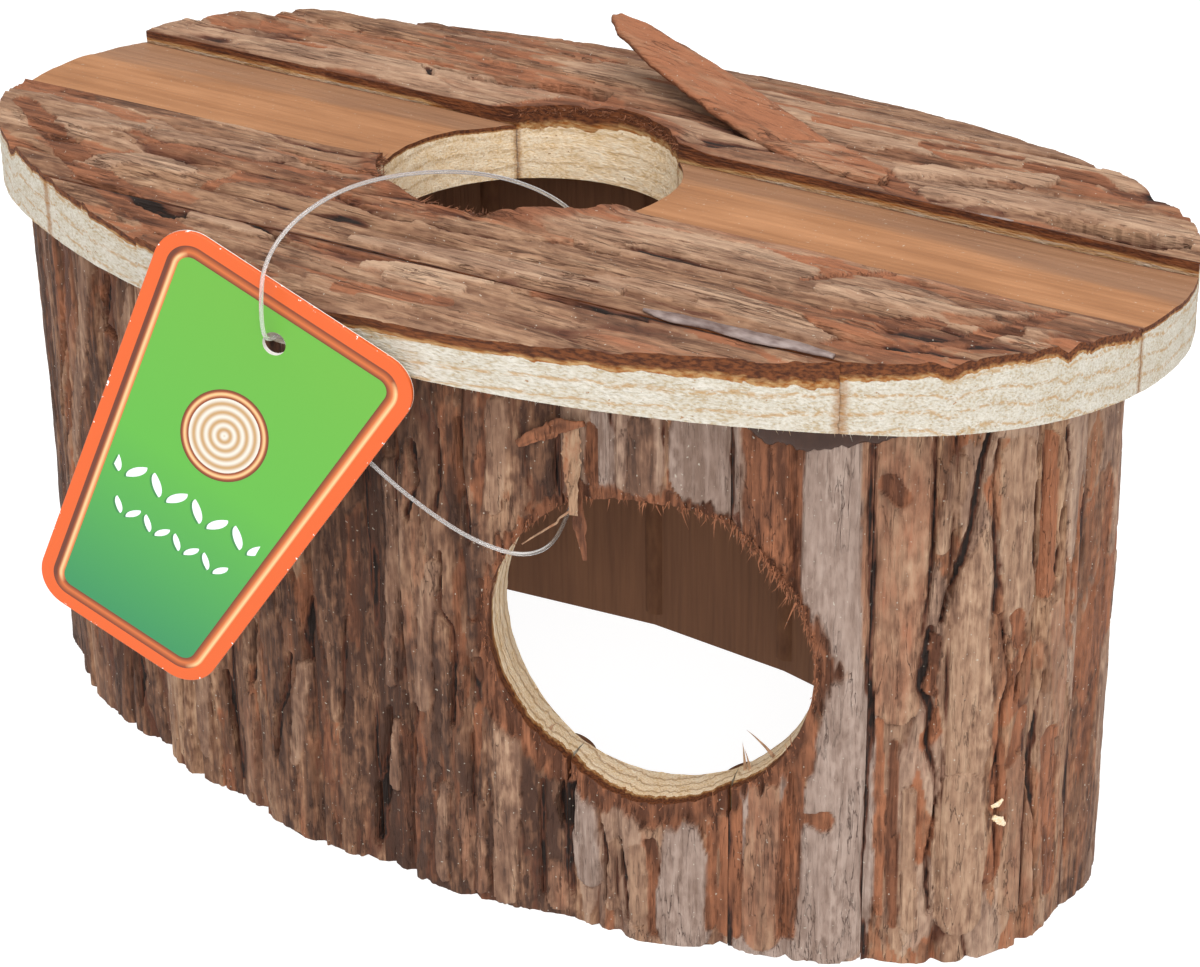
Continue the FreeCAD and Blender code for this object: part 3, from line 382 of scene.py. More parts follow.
    ("crack", 0, [(201.1, 93.9, 0.7), (203.6, 84.1, 1.0), (199.8, 82.9, 0.6)]),
    ("tan", 0.55, [(207.6, 95.1, 1.6), (213.0, 72.5, 1.8), (222.0, 50.0, 1.6)]),
    ("tan", 0.5, [(193.6, 93.0, 1.6), (198.6, 75.9, 1.6), (206.0, 61.4, 1.2)]),
]
# Marks on the roof: kind, tone and (x, y, half width) along each.
ROOF_STROKES = [
    ("torn", 0.35, [(-104.0, -27.5, 1.6), (-94.0, -32.8, 2.2), (-83.0, -38.8, 2.4), (-72.1, -45.0, 2.6),
     (-56.3, -51.5, 2.6), (-39.4, -57.6, 2.2), (-22.0, -60.6, 1.2)]),
    ("tan", 1.0, [(0.0, -53.6, 0.8), (7.0, -51.6, 1.6), (14.0, -50.6, 1.4), (23.0, -49.8, 0.6)]),
    ("gash", 0, [(28.0, -50.2, 0.4), (34.0, -49.4, 0.9), (42.0, -48.8, 0.8), (52.0, -48.6, 0.3)]),
    ("tan", 0.72, [(-88.6, -32.4, 1.6), (-81.7, -29.2, 2.6), (-73.6, -26.3, 1.6)]),
    ("gash", 0, [(-86.1, -38.0, 0.6), (-83.2, -38.0, 0.9), (-79.5, -37.7, 0.4)]),
    ("crack", 0, [(-70.8, -32.5, 0.3), (-63.9, -28.4, 0.4), (-54.5, -27.3, 0.3)]),
    ("crack", 0, [(-43.7, -25.8, 0.6), (-38.8, -24.1, 1.0), (-31.6, -25.1, 0.8), (-25.6, -24.8, 0.8),
     (-19.0, -23.1, 0.3)]),
    ("torn", 0.5, [(-45.1, -42.0, 0.8), (-41.7, -35.5, 1.8), (-34.5, -33.4, 1.6), (-23.1, -35.2, 1.0)]),
    ("tan", 0.7, [(-73.0, -44.5, 1.2), (-63.4, -39.4, 2.6), (-51.5, -39.1, 1.8)]),
    ("crack", 0, [(-69.1, -49.6, 0.6), (-54.2, -51.3, 1.0), (-43.5, -53.0, 1.2), (-35.1, -51.4, 1.3),
     (-26.3, -51.2, 1.0), (-17.8, -52.0, 0.6)]),
    ("crack", 0, [(-23.2, -33.1, 0.3), (-10.4, -37.0, 0.6), (-3.6, -37.0, 0.4)]),
    ("crack", 0, [(-0.8, -36.3, 0.3), (5.3, -36.6, 0.6), (13.6, -35.6, 0.4), (22.4, -32.2, 0.3),
     (34.1, -30.8, 0.4)]),
    ("tan", 0.68, [(-7.4, -47.0, 1.2), (8.2, -45.7, 2.2), (29.9, -42.6, 2.6), (41.4, -41.3, 2.4)]),
    ("torn", 0.45, [(-0.3, -60.9, 0.8), (10.6, -59.1, 1.6), (19.9, -57.7, 1.2)]),
    ("tan", 0.85, [(5.4, -54.7, 0.8), (12.2, -53.0, 1.4), (19.4, -53.9, 1.0)]),
    ("tan", 0.8, [(-39.8, -52.0, 0.8), (-28.8, -52.4, 1.5), (-21.8, -52.3, 0.8)]),
    ("crack", 0, [(23.2, -31.5, 0.4), (35.8, -26.2, 0.5), (51.8, -26.4, 0.8), (65.2, -28.1, 0.9),
     (71.4, -25.9, 0.6), (82.9, -21.7, 0.3)]),
    ("tan", 0.74, [(21.2, -21.8, 1.0), (34.9, -18.9, 2.0), (49.9, -17.4, 2.2), (64.2, -19.2, 1.4)]),
    ("torn", 0.4, [(65.3, -23.4, 0.6), (70.3, -16.6, 1.0), (77.0, -10.0, 0.8)]),
    ("tan", 0.72, [(69.4, -25.1, 1.0), (79.5, -22.1, 2.2), (93.2, -20.7, 1.6), (103.7, -13.8, 0.8)]),
    ("torn", 0.22, [(76.4, -31.8, 0.9), (85.8, -30.5, 1.4), (93.4, -26.2, 1.2), (102.7, -22.5, 1.0)]),
    ("tan", 0.66, [(36.1, -40.4, 1.6), (52.0, -38.5, 3.0), (67.2, -38.4, 3.2), (78.6, -40.3, 2.4)]),
    ("crack", 0, [(31.5, -42.9, 0.3), (44.0, -40.4, 0.3), (54.5, -38.8, 0.3)]),
    ("crack", 0, [(66.6, -35.2, 0.2), (81.8, -38.4, 0.3), (94.6, -35.9, 0.3)]),
    ("torn", 0.3, [(93.9, -34.6, 1.0), (100.5, -26.3, 1.6), (104.1, -10.3, 1.0)]),
    ("gash", 0, [(-38.2, 25.9, 0.8), (-30.3, 27.8, 1.8), (-21.5, 30.9, 2.0), (-12.8, 32.6, 1.2)]),
    ("tan", 0.62, [(-83.2, 21.3, 2.0), (-65.0, 23.4, 3.2), (-48.8, 24.9, 2.4)]),
    ("torn", 0.4, [(-37.7, 1.2, 1.4), (-36.0, 13.3, 2.2), (-25.8, 15.6, 2.4), (-17.6, 22.9, 2.4),
     (-5.2, 25.5, 2.0)]),
    ("torn", 0.3, [(-98.1, 14.8, 1.0), (-77.0, 14.0, 1.4), (-61.9, 17.1, 1.6), (-49.3, 15.7, 1.4)]),
    ("torn", 0.25, [(10.6, 8.0, 2.0), (20.7, 12.3, 3.2), (27.7, 14.6, 2.4)]),
    ("torn", 0.45, [(46.2, 26.4, 1.2), (53.5, 22.3, 2.2), (63.3, 16.5, 1.8)]),
    ("tan", 0.82, [(54.2, 26.6, 1.6), (60.9, 30.5, 2.8), (71.2, 33.4, 2.8), (77.4, 36.4, 1.8)]),
    ("crack", 0, [(56.8, 25.0, 0.5), (63.8, 26.8, 0.7), (73.5, 29.2, 0.6), (78.3, 33.2, 0.3)]),
    ("torn", 0.2, [(49.5, 42.0, 0.6), (57.8, 43.3, 1.0), (68.0, 43.8, 0.6)]),
    ("tan", 0.7, [(23.0, 39.6, 1.6), (41.1, 37.9, 2.0), (53.9, 35.8, 1.2)]),
    ("tan", 0.68, [(62.2, 21.1, 1.6), (74.8, 23.9, 2.2), (86.7, 24.5, 1.8)]),
    ("gash", 0, [(86.2, 21.0, 0.6), (92.2, 21.1, 1.5), (98.9, 21.0, 1.9), (104.9, 20.7, 1.7),
     (109.4, 21.8, 1.0)]),
    ("tan", 0.8, [(90.0, 25.4, 0.8), (98.3, 25.2, 1.8), (108.5, 25.2, 1.2)]),
    ("torn", 0.3, [(69.0, 17.6, 0.8), (85.5, 13.8, 1.0), (97.0, 13.1, 0.8)]),
    ("torn", 0.22, [(70.3, 42.5, 1.0), (82.0, 42.7, 1.6), (93.7, 37.6, 1.2)]),
    ("crack", 0, [(-46.8, 23.6, 0.4), (-50.1, 26.6, 0.6), (-39.4, 27.5, 0.5)]),
]

# What a mark makes of the bark: lift, rust, grey, and how rough it stays.
MARKS = {
    "tan": (0.30, 0.0, 0.15, 0.6),
    "grey": (0.25, 0.0, 0.9, 0.7),
    "pink": (0.20, 0.42, 0.1, 0.6),
    "torn": (-0.45, 0.95, 0.0, 1.2),
    "orange": (-0.30, 0.75, 0.0, 0.2),
}


def outside(u, v, points):
    """Distance outside a stroke of changing width; negative inside it."""
    nearest = np.full(u.shape, 9.0)
    for (u0, v0, w0), (u1, v1, w1) in zip(points, points[1:]):
        run_u, run_v = u1 - u0, v1 - v0
        share = ((u - u0) * run_u + (v - v0) * run_v) / (run_u ** 2 + run_v ** 2)
        share = np.clip(share, 0, 1)
        apart = np.hypot(u - u0 - share * run_u, v - v0 - share * run_v)
        nearest = np.minimum(nearest, apart - w0 - share * (w1 - w0))
    return nearest


def marked(skin, u, v, strokes, across, along, seed):
    """The bark with listed plates, torn patches and cracks drawn over its own pattern."""
    height, tone, rust, grey, crack = (value.copy() for value in skin)
    ragged = 0.9 * layered(across / 1.6, along / 5, seed + 51, 3)
    streak = layered(across / 0.8, along / 11, seed + 53, 3)
    for kind, level, points in strokes:
        spots = np.array(points)
        low, high = spots[:, :2].min(0) - 8, spots[:, :2].max(0) + 8
        near = (u > low[0]) & (u < high[0]) & (v > low[1]) & (v < high[1])
        if not near.any():
            continue
        away = outside(u[near], v[near], points) + ragged[near]
        if kind in ("crack", "gash"):
            inside = 1 - smooth(-0.5, 0.5, away)
            depth = 0.5 + 1.2 * spots[:, 2].mean() + (0.5 if kind == "gash" else 0)
            height[near] -= depth * (1 - smooth(-0.2, 0.4, away))
            crack[near] = np.maximum(crack[near], inside)
            continue
        lift, redness, greyness, rough = MARKS[kind]
        inside = 1 - smooth(-0.1, 0.2, away)
        # Along the border of each mark runs a thin groove with a painted shadow line in it, through the
        # crack value.
        line = np.exp(-((away - 0.1) / 0.18) ** 2) * smooth(0.0, 0.15, ragged[near] + 0.1)
        flat = lift + 0.35 * (height[near] + 0.05) + 0.3 * rough * streak[near]
        height[near] += inside * (flat - height[near]) - 0.25 * line
        flat = level + 0.3 * (tone[near] - 0.5) + 0.75 * rough * streak[near]
        tone[near] += inside * (flat - tone[near])
        rust[near] += inside * (redness - rust[near])
        grey[near] += inside * (greyness - grey[near])
        crack[near] = np.maximum(crack[near] * (1 - 0.85 * inside), 0.6 * line)
    return Finish(height, tone, rust, grey, crack)


# ---------------------------------------------------------------- slats as the CAD holds them
def mesh_points(mesh):
    """Vertices of a mesh, in millimetres."""
    flat = np.empty(len(mesh.vertices) * 3, np.float32)
    mesh.vertices.foreach_get("co", flat)
    return flat.reshape(-1, 3).astype(float) / MM


def node_points(node):
    return mesh_points(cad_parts[node].data)


def nodes_of(prefix):
    return [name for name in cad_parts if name.startswith(prefix)]


def circle_through(first, middle, last):
    """Centre and radius of the circle through three points of a plane."""
    a = np.array([middle - first, last - first])
    b = np.array([(middle @ middle - first @ first) / 2, (last @ last - first @ first) / 2])
    centre = np.linalg.solve(a, b)
    return centre, np.linalg.norm(first - centre)


class WallSlat:
    """An upright slat: its bark bulges on an arc, its grain runs up."""

    def __init__(self, node, seed, look):
        self.node, self.seed, self.look = node, seed, look
        self.number = int(node.split("_")[2])
        self.stations = JOINTS[self.number - 1], JOINTS[self.number]
        points = node_points(node)
        self.low, self.high = points[:, 2].min(), points[:, 2].max()
        end = self.high if self.low > 1 else self.low
        plan = np.unique(np.round(points[np.abs(points[:, 2] - end) < 0.01, :2], 3), axis=0)
        ring = hull(plan)
        # The flat back is the longest side; the outer corners stand next to its two ends.
        back = np.argmax(np.linalg.norm(np.roll(ring, -1, 0) - ring, axis=1))
        ring = np.roll(ring, -back - 1, 0)
        self.inner = [ring[-1], ring[0]]
        start, end = ring[1], ring[-2]
        rise = (ring - start) @ np.array([end[1] - start[1], start[0] - end[0]])
        self.centre, self.radius = circle_through(start, ring[np.argmax(rise)], end)
        arm = start - self.centre
        self.start = math.atan2(arm[1], arm[0])
        reach = math.atan2(*(end - self.centre)[::-1]) - self.start
        self.width = self.radius * (reach % (2 * math.pi))
        # The furrows and grooves of the CAD: how far its outline lies under the arc.
        across, _, lift = self.locate(at_level(plan, 0.0))
        order = np.argsort(across)
        order = order[(lift[order] > -3) & (across[order] > 0.2) & (across[order] < self.width - 0.2)]
        self.profile = (np.r_[0, across[order], self.width], np.r_[0, lift[order], 0])

    def place(self, across, along, lift):
        """Points at a way across the slat, a height, and a lift off its arc."""
        angle = self.start + across / self.radius
        reach = self.radius + lift
        return np.stack([self.centre[0] + reach * np.cos(angle),
                         self.centre[1] + reach * np.sin(angle), along + 0 * across], -1)

    def locate(self, points):
        """Way across, height and lift of points, which is place() backwards."""
        arm = points[:, :2] - self.centre
        angle = (np.arctan2(arm[:, 1], arm[:, 0]) - self.start + math.pi) % (2 * math.pi) - math.pi
        return angle * self.radius, points[:, 2], np.linalg.norm(arm, axis=1) - self.radius

    def bark_thickness(self, along):
        return 2.5

    def edge(self, across, along):
        return np.minimum(across, self.width - across)

    def finish(self, across, along):
        skin = bark(across, along, self.seed, self.look)
        station = self.stations[1] + across / self.width * (self.stations[0] - self.stations[1])
        skin = marked(skin, station, along, WALL_STROKES, across, along, self.seed)
        furrow = np.interp(across + 2.0 * layered(across / 40, along / 30, self.seed + 37),
                           *self.profile)
        edge = self.edge(across, along)
        open_part = smooth(0.35, 0.7, noise(across / 30, along / 11, self.seed + 40))
        # The dark line of a joint, a shallow groove with painted shade in it, wanders over both of its
        # slats.
        valley = 0 * across
        for number, signed in ((self.number - 1, across), (self.number % 17, across - self.width)):
            wander = 1.5 * layered(along / 17, 0 * along, 900 + number)
            shut = smooth(0.35, 0.6, noise(along / 14, 0 * along, 930 + number))
            line = 1 - smooth(0.05, 0.9, np.abs(signed - wander))
            valley = np.maximum(valley, line * (0.25 + 0.75 * shut))
        height = (skin.height - 0.9 * valley) * smooth(0.0, 1.2, edge) - 0.15 + furrow
        # Open furrows and the joint lines take the crack value too, which paints shade into them.
        furrowed = smooth(0.8, 1.35, -furrow) * (0.2 + 0.7 * open_part)
        crack = np.maximum(skin.crack, np.maximum(valley, furrowed))
        # The borer has torn the bark off round the entrance, most of all below it.
        apart, away = door_distance(self.place(across, along, np.zeros_like(across)))
        turn = np.arctan2(away[:, 2], away[:, 0])
        reach = 2.6 * noise(turn * 3 + 9, turn + 9, 71) + 2.0 * noise(turn * 14 + 40, turn, 72)
        reach = reach + 2.2 * smooth(0.1, 0.9, -np.sin(turn + 0.5)) + 1.2 * smooth(0.6, 1.0, np.cos(turn))
        torn = 1 - smooth(reach - 1.4, reach, apart + 3.0 * layered(across, along / 8, self.seed + 43))
        ragged = layered(across / 0.6, along / 7, self.seed + 41, 3)
        height = height * (1 - 0.7 * torn) - (0.9 - 1.3 * ragged) * torn
        return Finish(height, skin.tone * (1 - torn) + (0.2 + 1.3 * ragged) * torn,
                      np.maximum(skin.rust * (1 - torn), torn), skin.grey * (1 - torn),
                      crack * (1 - torn))

    def blank(self):
        """Loops of points, one per station up the grain."""
        step = relief_step()
        across = np.linspace(0, self.width, max(8, round(self.width / step)) + 1)
        along = np.linspace(self.low, self.high, round((self.high - self.low) / step) + 1)
        grid_across, grid_along = np.meshgrid(across, along)
        flat = (grid_across.ravel(), grid_along.ravel())
        outer = self.place(*flat, self.finish(*flat).height).reshape(*grid_across.shape, 3)
        backs = []
        for share in np.linspace(0, 1, 5):
            back = self.inner[0] * (1 - share) + self.inner[1] * share
            backs.append(np.column_stack([np.tile(back, (len(along), 1)), along])[:, None])
        loops = np.concatenate([outer, *backs], 1)
        if self.low < 1:
            # The saw left the foot a little uneven.
            chipped = 0.5 * smooth(0.1, 0.4, layered(across / 3, across * 0 + 5, self.seed + 45))
            loops[0, :len(across), 2] += chipped
            loops[1, :len(across), 2] = np.maximum(loops[1, :len(across), 2], chipped + 0.1)
        return loops, len(across)


def slat_mesh(slat, materials):
    """Closed mesh of a slat's blank: bark on its outside, sawn wood all round the rest."""
    loops, bark_count = slat.blank()
    mesh = tube_mesh(slat.node, loops, materials)
    column = np.tile(np.arange(loops.shape[1]), loops.shape[0] - 1)
    inner = (column >= bark_count) & (column < loops.shape[1] - 1) & (len(materials) > 2)
    slots = np.select([column < bark_count - 1, inner], [0, 2], 1)
    mesh.polygons.foreach_set("material_index", slots.tolist() + [1, 1])
    return mesh


def tube_mesh(name, rings, materials):
    """Closed mesh round a stack of rings of points."""
    rows, columns = rings.shape[:2]
    index = np.arange(rows * columns).reshape(rows, columns)
    nxt = np.roll(index, -1, 1)
    quads = np.stack([index[:-1], nxt[:-1], nxt[1:], index[1:]], -1).reshape(-1, 4)
    mesh = bpy.data.meshes.new(name)
    mesh.from_pydata((rings.reshape(-1, 3) * MM).tolist(), [],
                     quads.tolist() + [index[0][::-1].tolist(), index[-1].tolist()])
    for material in materials:
        mesh.materials.append(material)
    return mesh


def shown(name, data):
    """Object of a mesh, curve, lamp or camera, in the scene."""
    piece = bpy.data.objects.new(name, data)
    bpy.context.scene.collection.objects.link(piece)
    return piece


def carve(piece, cutter, operation):
    """Cut a piece with a closed mesh, whose material the new faces take."""
    knife = shown("knife", cutter)
    saw = piece.modifiers.new("saw", "BOOLEAN")
    saw.object = knife
    saw.operation = operation
    saw.solver = "MANIFOLD"
    saw.material_mode = "TRANSFER"
    done = bpy.data.meshes.new_from_object(piece.evaluated_get(
        bpy.context.evaluated_depsgraph_get()))
    piece.modifiers.remove(saw)
    piece.data = done
    bpy.data.objects.remove(knife)


def set_value(mesh, name, values):
    mesh.attributes.new(name, "FLOAT", "POINT").data.foreach_set(
        "value", np.ascontiguousarray(values, np.float32))


def set_loose(mesh, tone, rust):
    """Finish of a scrap: bark through and through, with no wood under it."""
    for name, value in (("tone", tone), ("rust", rust), ("grey", 0), ("crack", 0), ("depth", 9),
                        ("layer", 9), ("joint", 0)):
        set_value(mesh, name, value + 0 * tone)


def dress(piece, slat):
    """Give every vertex the finish of its place, and its depth under the bark."""
    mesh = piece.data
    across, along, lift = slat.locate(mesh_points(mesh))
    skin = slat.finish(across, along)
    for name in ("tone", "rust", "grey", "crack"):
        set_value(mesh, name, getattr(skin, name))
    set_value(mesh, "depth", skin.height - lift)
    set_value(mesh, "layer", (skin.height - lift) / slat.bark_thickness(along))
    lying = isinstance(slat, RoofSlat)
    set_value(mesh, "joint", (1 - smooth(0.05, 0.6, slat.edge(across, along))) * lying)
    mesh.shade_smooth()
    mesh.set_sharp_from_angle(angle=SHARP_ANGLE)
    mesh.name = piece.name


class RoofSlat:
    """A slat that lies on the wall: its bark looks up, its grain runs along X."""

    def __init__(self, node, seed, look):
        self.node, self.seed, self.look = node, seed, look
        (crown, self.middle, self.radius), self.front, self.rear, self.furrows = ROOF_SLATS[node]
        self.height = WALL_TOP + crown - self.radius
        low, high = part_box(node)
        self.low = low.z / MM
        # The blank is a little longer and wider than the slat, and the saw cuts bring it to size.
        self.reach_x = (low.x / MM - 1.5, high.x / MM + 1.5)
        self.reach_y = (low.y / MM - 2, high.y / MM + 2)

    def crown(self, across):
        return self.height + np.sqrt(self.radius ** 2 - (across - self.middle) ** 2)

    def place(self, across, along, lift):
        return np.stack([along, across, self.crown(across) + lift], -1)

    def locate(self, points):
        return points[:, 1], points[:, 0], points[:, 2] - self.crown(points[:, 1])

    def edges(self, along):
        """Y of the slat's front and rear side at places along it."""
        front = self.reach_y[0] + 0 * along if self.front is None else (
            self.front[0] + self.front[1] * along + 0.1)
        rear = self.reach_y[1] + 0 * along if self.rear is None else (
            self.rear[0] + self.rear[1] * along - 0.1)
        return front, rear

    def edge(self, across, along):
        front, rear = self.edges(along)
        return np.minimum(across - front if self.front else 9.0,
                          rear - across if self.rear else 9.0) + 0 * along

    def bark_thickness(self, along):
        places, depths = BARK_DEPTHS.get(self.node, ((0,), (2.2,)))
        return np.interp(along, places, depths)

    def finish(self, across, along):
        skin = bark(across, along, self.seed, self.look)
        skin = marked(skin, along, across, ROOF_STROKES, across, along, self.seed)
        edge = self.edge(across, along)
        ragged = layered(across / 2, along / 12, self.seed + 39)
        joint = 1 - smooth(0.0, 1.3, edge + 0.9 * ragged)
        furrow = 0 * across
        wander = 1.6 * layered(across / 40, along / 30, self.seed + 37)
        for middle, slope in self.furrows:
            apart = np.abs(across + wander - middle - slope * along)
            furrow = np.minimum(furrow, FURROW_DEPTH * np.minimum(apart / FURROW_REACH - 1, 0))
        open_part = smooth(0.35, 0.7, noise(across / 30, along / 14, self.seed + 40))
        height = skin.height * (1 - joint) - 0.3 * joint + furrow
        # The joints and open furrows take the crack value, which paints shade into them.
        valley = (1 - smooth(0.0, 0.7, edge + 0.4 * ragged)) * (0.6 + 0.4 * open_part)
        furrowed = smooth(0.8, 1.35, -furrow) * (0.3 + 0.6 * open_part)
        crack = np.maximum(skin.crack, np.maximum(valley, furrowed))
        # The hole saw has lifted the bark round its cut.
        lifted = np.hypot(across - ROOF_HOLE[1], along - ROOF_HOLE[0]) - ROOF_HOLE_RADIUS
        lifted = np.exp(-(np.maximum(lifted, 0) / 3) ** 2)
        lifted = lifted * smooth(0.1, 0.5, noise(along / 5, across / 5, 77))
        return Finish(height + 1.1 * lifted, skin.tone - 0.2 * lifted,
                      np.maximum(skin.rust, lifted), skin.grey * (1 - lifted), crack)

    def blank(self):
        step = relief_step()
        along = np.linspace(*self.reach_x, round((self.reach_x[1] - self.reach_x[0]) / step) + 1)
        front, rear = self.edges(along)
        count = max(6, round((rear - front).mean() / step)) + 1
        share = np.linspace(0, 1, count)
        # The loop runs from rear to front so that the faces look outwards.
        across = rear[:, None] + (front - rear)[:, None] * share
        grid_along = np.repeat(along[:, None], count, 1)
        flat = (across.ravel(), grid_along.ravel())
        top = self.place(*flat, self.finish(*flat).height).reshape(len(along), count, 3)
        under = np.full(len(along), self.low)
        backs = [np.stack([along, side, under], -1)[:, None] for side in (front, rear)]
        return np.concatenate([top, *backs], 1), count


class PeeledSlat(RoofSlat):
    """A roof slat without its bark: only the smooth inner bark is left on the wood."""

    def bark_thickness(self, along):
        return 1.0

    def finish(self, across, along):
        front, rear = self.edges(along)
        wave = layered(across / 16, along / 80, self.seed)
        streak = layered(across / 1.3, along / 40, self.seed + 4, 3)
        share = (across - front) / (rear - front)
        # Fibres of the outer bark have stayed on its rear half.
        fibrous = smooth(0.55, 0.8, share + 0.6 * layered(across / 8, along / 60, self.seed + 8))
        edge = self.edge(across, along)
        height = -0.15 + 0.5 * wave + (0.03 + 0.25 * fibrous) * streak - 0.3 * fibrous
        # Near its edges the crack value paints shade into the joints.
        return Finish(np.minimum(height, edge * 0.6 - 0.1), 0.54 + 0.3 * streak + 0.4 * wave,
                      fibrous, 0 * across, 1 - smooth(0.1, 0.6, edge + 0.5 * streak))


# ---------------------------------------------------------------- material helpers
MATHS = "ShaderNodeMath"
RAMP = "ShaderNodeValToRGB"
MIX = "ShaderNodeMix"
MESH_VALUE = "ShaderNodeAttribute"
BUMP = "ShaderNodeBump"
SHADER = "ShaderNodeBsdfPrincipled"


def paint(colour):
    """RGBA of a grey level, a hex value or one of the user's colours."""
    if isinstance(colour, (int, float)):
        return (colour, colour, colour, 1)
    if colour.startswith("#"):
        return (*linear(colour), 1)
    return (*getattr(bpy.context.scene.hamster_house_colours, colour), 1)


def fill(socket, value):
    """Link a field to a socket, or set the socket to a number, a vector or a colour."""
    if isinstance(value, Field):
        socket.id_data.links.new(value.socket, socket)
    else:
        socket.default_value = paint(value) if socket.type == "RGBA" else value


def add_node(tree, kind, *values, stops=(), output=None, **settings):
    """Add a shader node and give its output as a field.

    Settings are the node's properties, or its inputs where they begin with a capital.  Values go
    to its usable inputs in turn, and stops are the (place, colour) pairs of a ramp.
    """
    node = tree.nodes.new(kind)
    for name, value in settings.items():
        if name.islower():
            setattr(node, name, value)
        else:
            fill(node.inputs[name.replace("_", " ")], value)
    for socket, value in zip([socket for socket in node.inputs if socket.enabled], values):
        fill(socket, value)
    for _ in stops[2:]:
        node.color_ramp.elements.new(0.5)
    for number, (place, colour) in enumerate(stops):
        node.color_ramp.elements[number].position = place
        node.color_ramp.elements[number].color = paint(colour)
    outputs = [socket for socket in node.outputs if socket.enabled and output in (None, socket.name)]
    return Field(outputs[0]) if outputs else None


class Field:
    """A number or colour in a material's nodes, for sums as with numbers."""

    def __init__(self, socket):
        self.socket = socket
        self.tree = socket.id_data

    def __add__(self, other):
        return add_node(self.tree, MATHS, self, other, operation="ADD")

    def __sub__(self, other):
        return add_node(self.tree, MATHS, self, other, operation="SUBTRACT")

    def __rsub__(self, other):
        return add_node(self.tree, MATHS, other, self, operation="SUBTRACT")

    def __mul__(self, other):
        return add_node(self.tree, MATHS, self, other, operation="MULTIPLY")

    def __truediv__(self, other):
        return add_node(self.tree, MATHS, self, other, operation="DIVIDE")

    def __lt__(self, other):
        return add_node(self.tree, MATHS, self, other, operation="LESS_THAN")

    def __gt__(self, other):
        return add_node(self.tree, MATHS, self, other, operation="GREATER_THAN")

    def centred(self, weight):
        """Noise from 0 to 1 as a change of weight round nought."""
        return (self - 0.5) * weight


def coated(ground, *coats):
    """Colour of a ground under coats of (field, colour), each over the last.

    A coat may end with the values of its field at which there is none of it and at which it hides
    what lies under it.
    """
    for share, coat, *limits in coats:
        if limits:
            share = add_node(share.tree, RAMP, share, stops=sorted(zip(limits, (0, 1))))
        ground = add_node(share.tree, MIX, share, ground, coat, data_type="RGBA")
    return ground


def grain_noise(tree, across_mm, along_mm, direction, detail=4.0, seed=0.0):
    """Noise stretched along the grain, whose bumps have the given sizes in millimetres."""
    scale = [1 / (across_mm * MM)] * 3
    scale["XYZ".index(direction)] = 1 / (along_mm * MM)
    place = add_node(tree, "ShaderNodeTexCoord", output="Object")
    place = add_node(tree, "ShaderNodeMapping", place, Scale=scale,
                     Location=(seed, seed * 1.7, seed * 2.3))
    return add_node(tree, "ShaderNodeTexNoise", place, Scale=1.0, Detail=detail)


def sawdust(tree):
    """Grains of sawdust of about 0.3 mm, few and far between."""
    grains = grain_noise(tree, 0.45, 0.45, "X", 0.0, 5.0)
    return add_node(tree, RAMP, grains, stops=((0.81, 0), (0.85, 1))) * 0.6


def material_maker(build):
    """Wrap a function that gives a finish's shader, so that each material is built only once."""
    def make(name, *choices):
        material = bpy.data.materials.get(name)
        if material is None:
            material = bpy.data.materials.new(name)
            material.use_nodes = True
            tree = material.node_tree
            tree.nodes.clear()
            add_node(tree, "ShaderNodeOutputMaterial", build(tree, *choices))
        return material
    return make


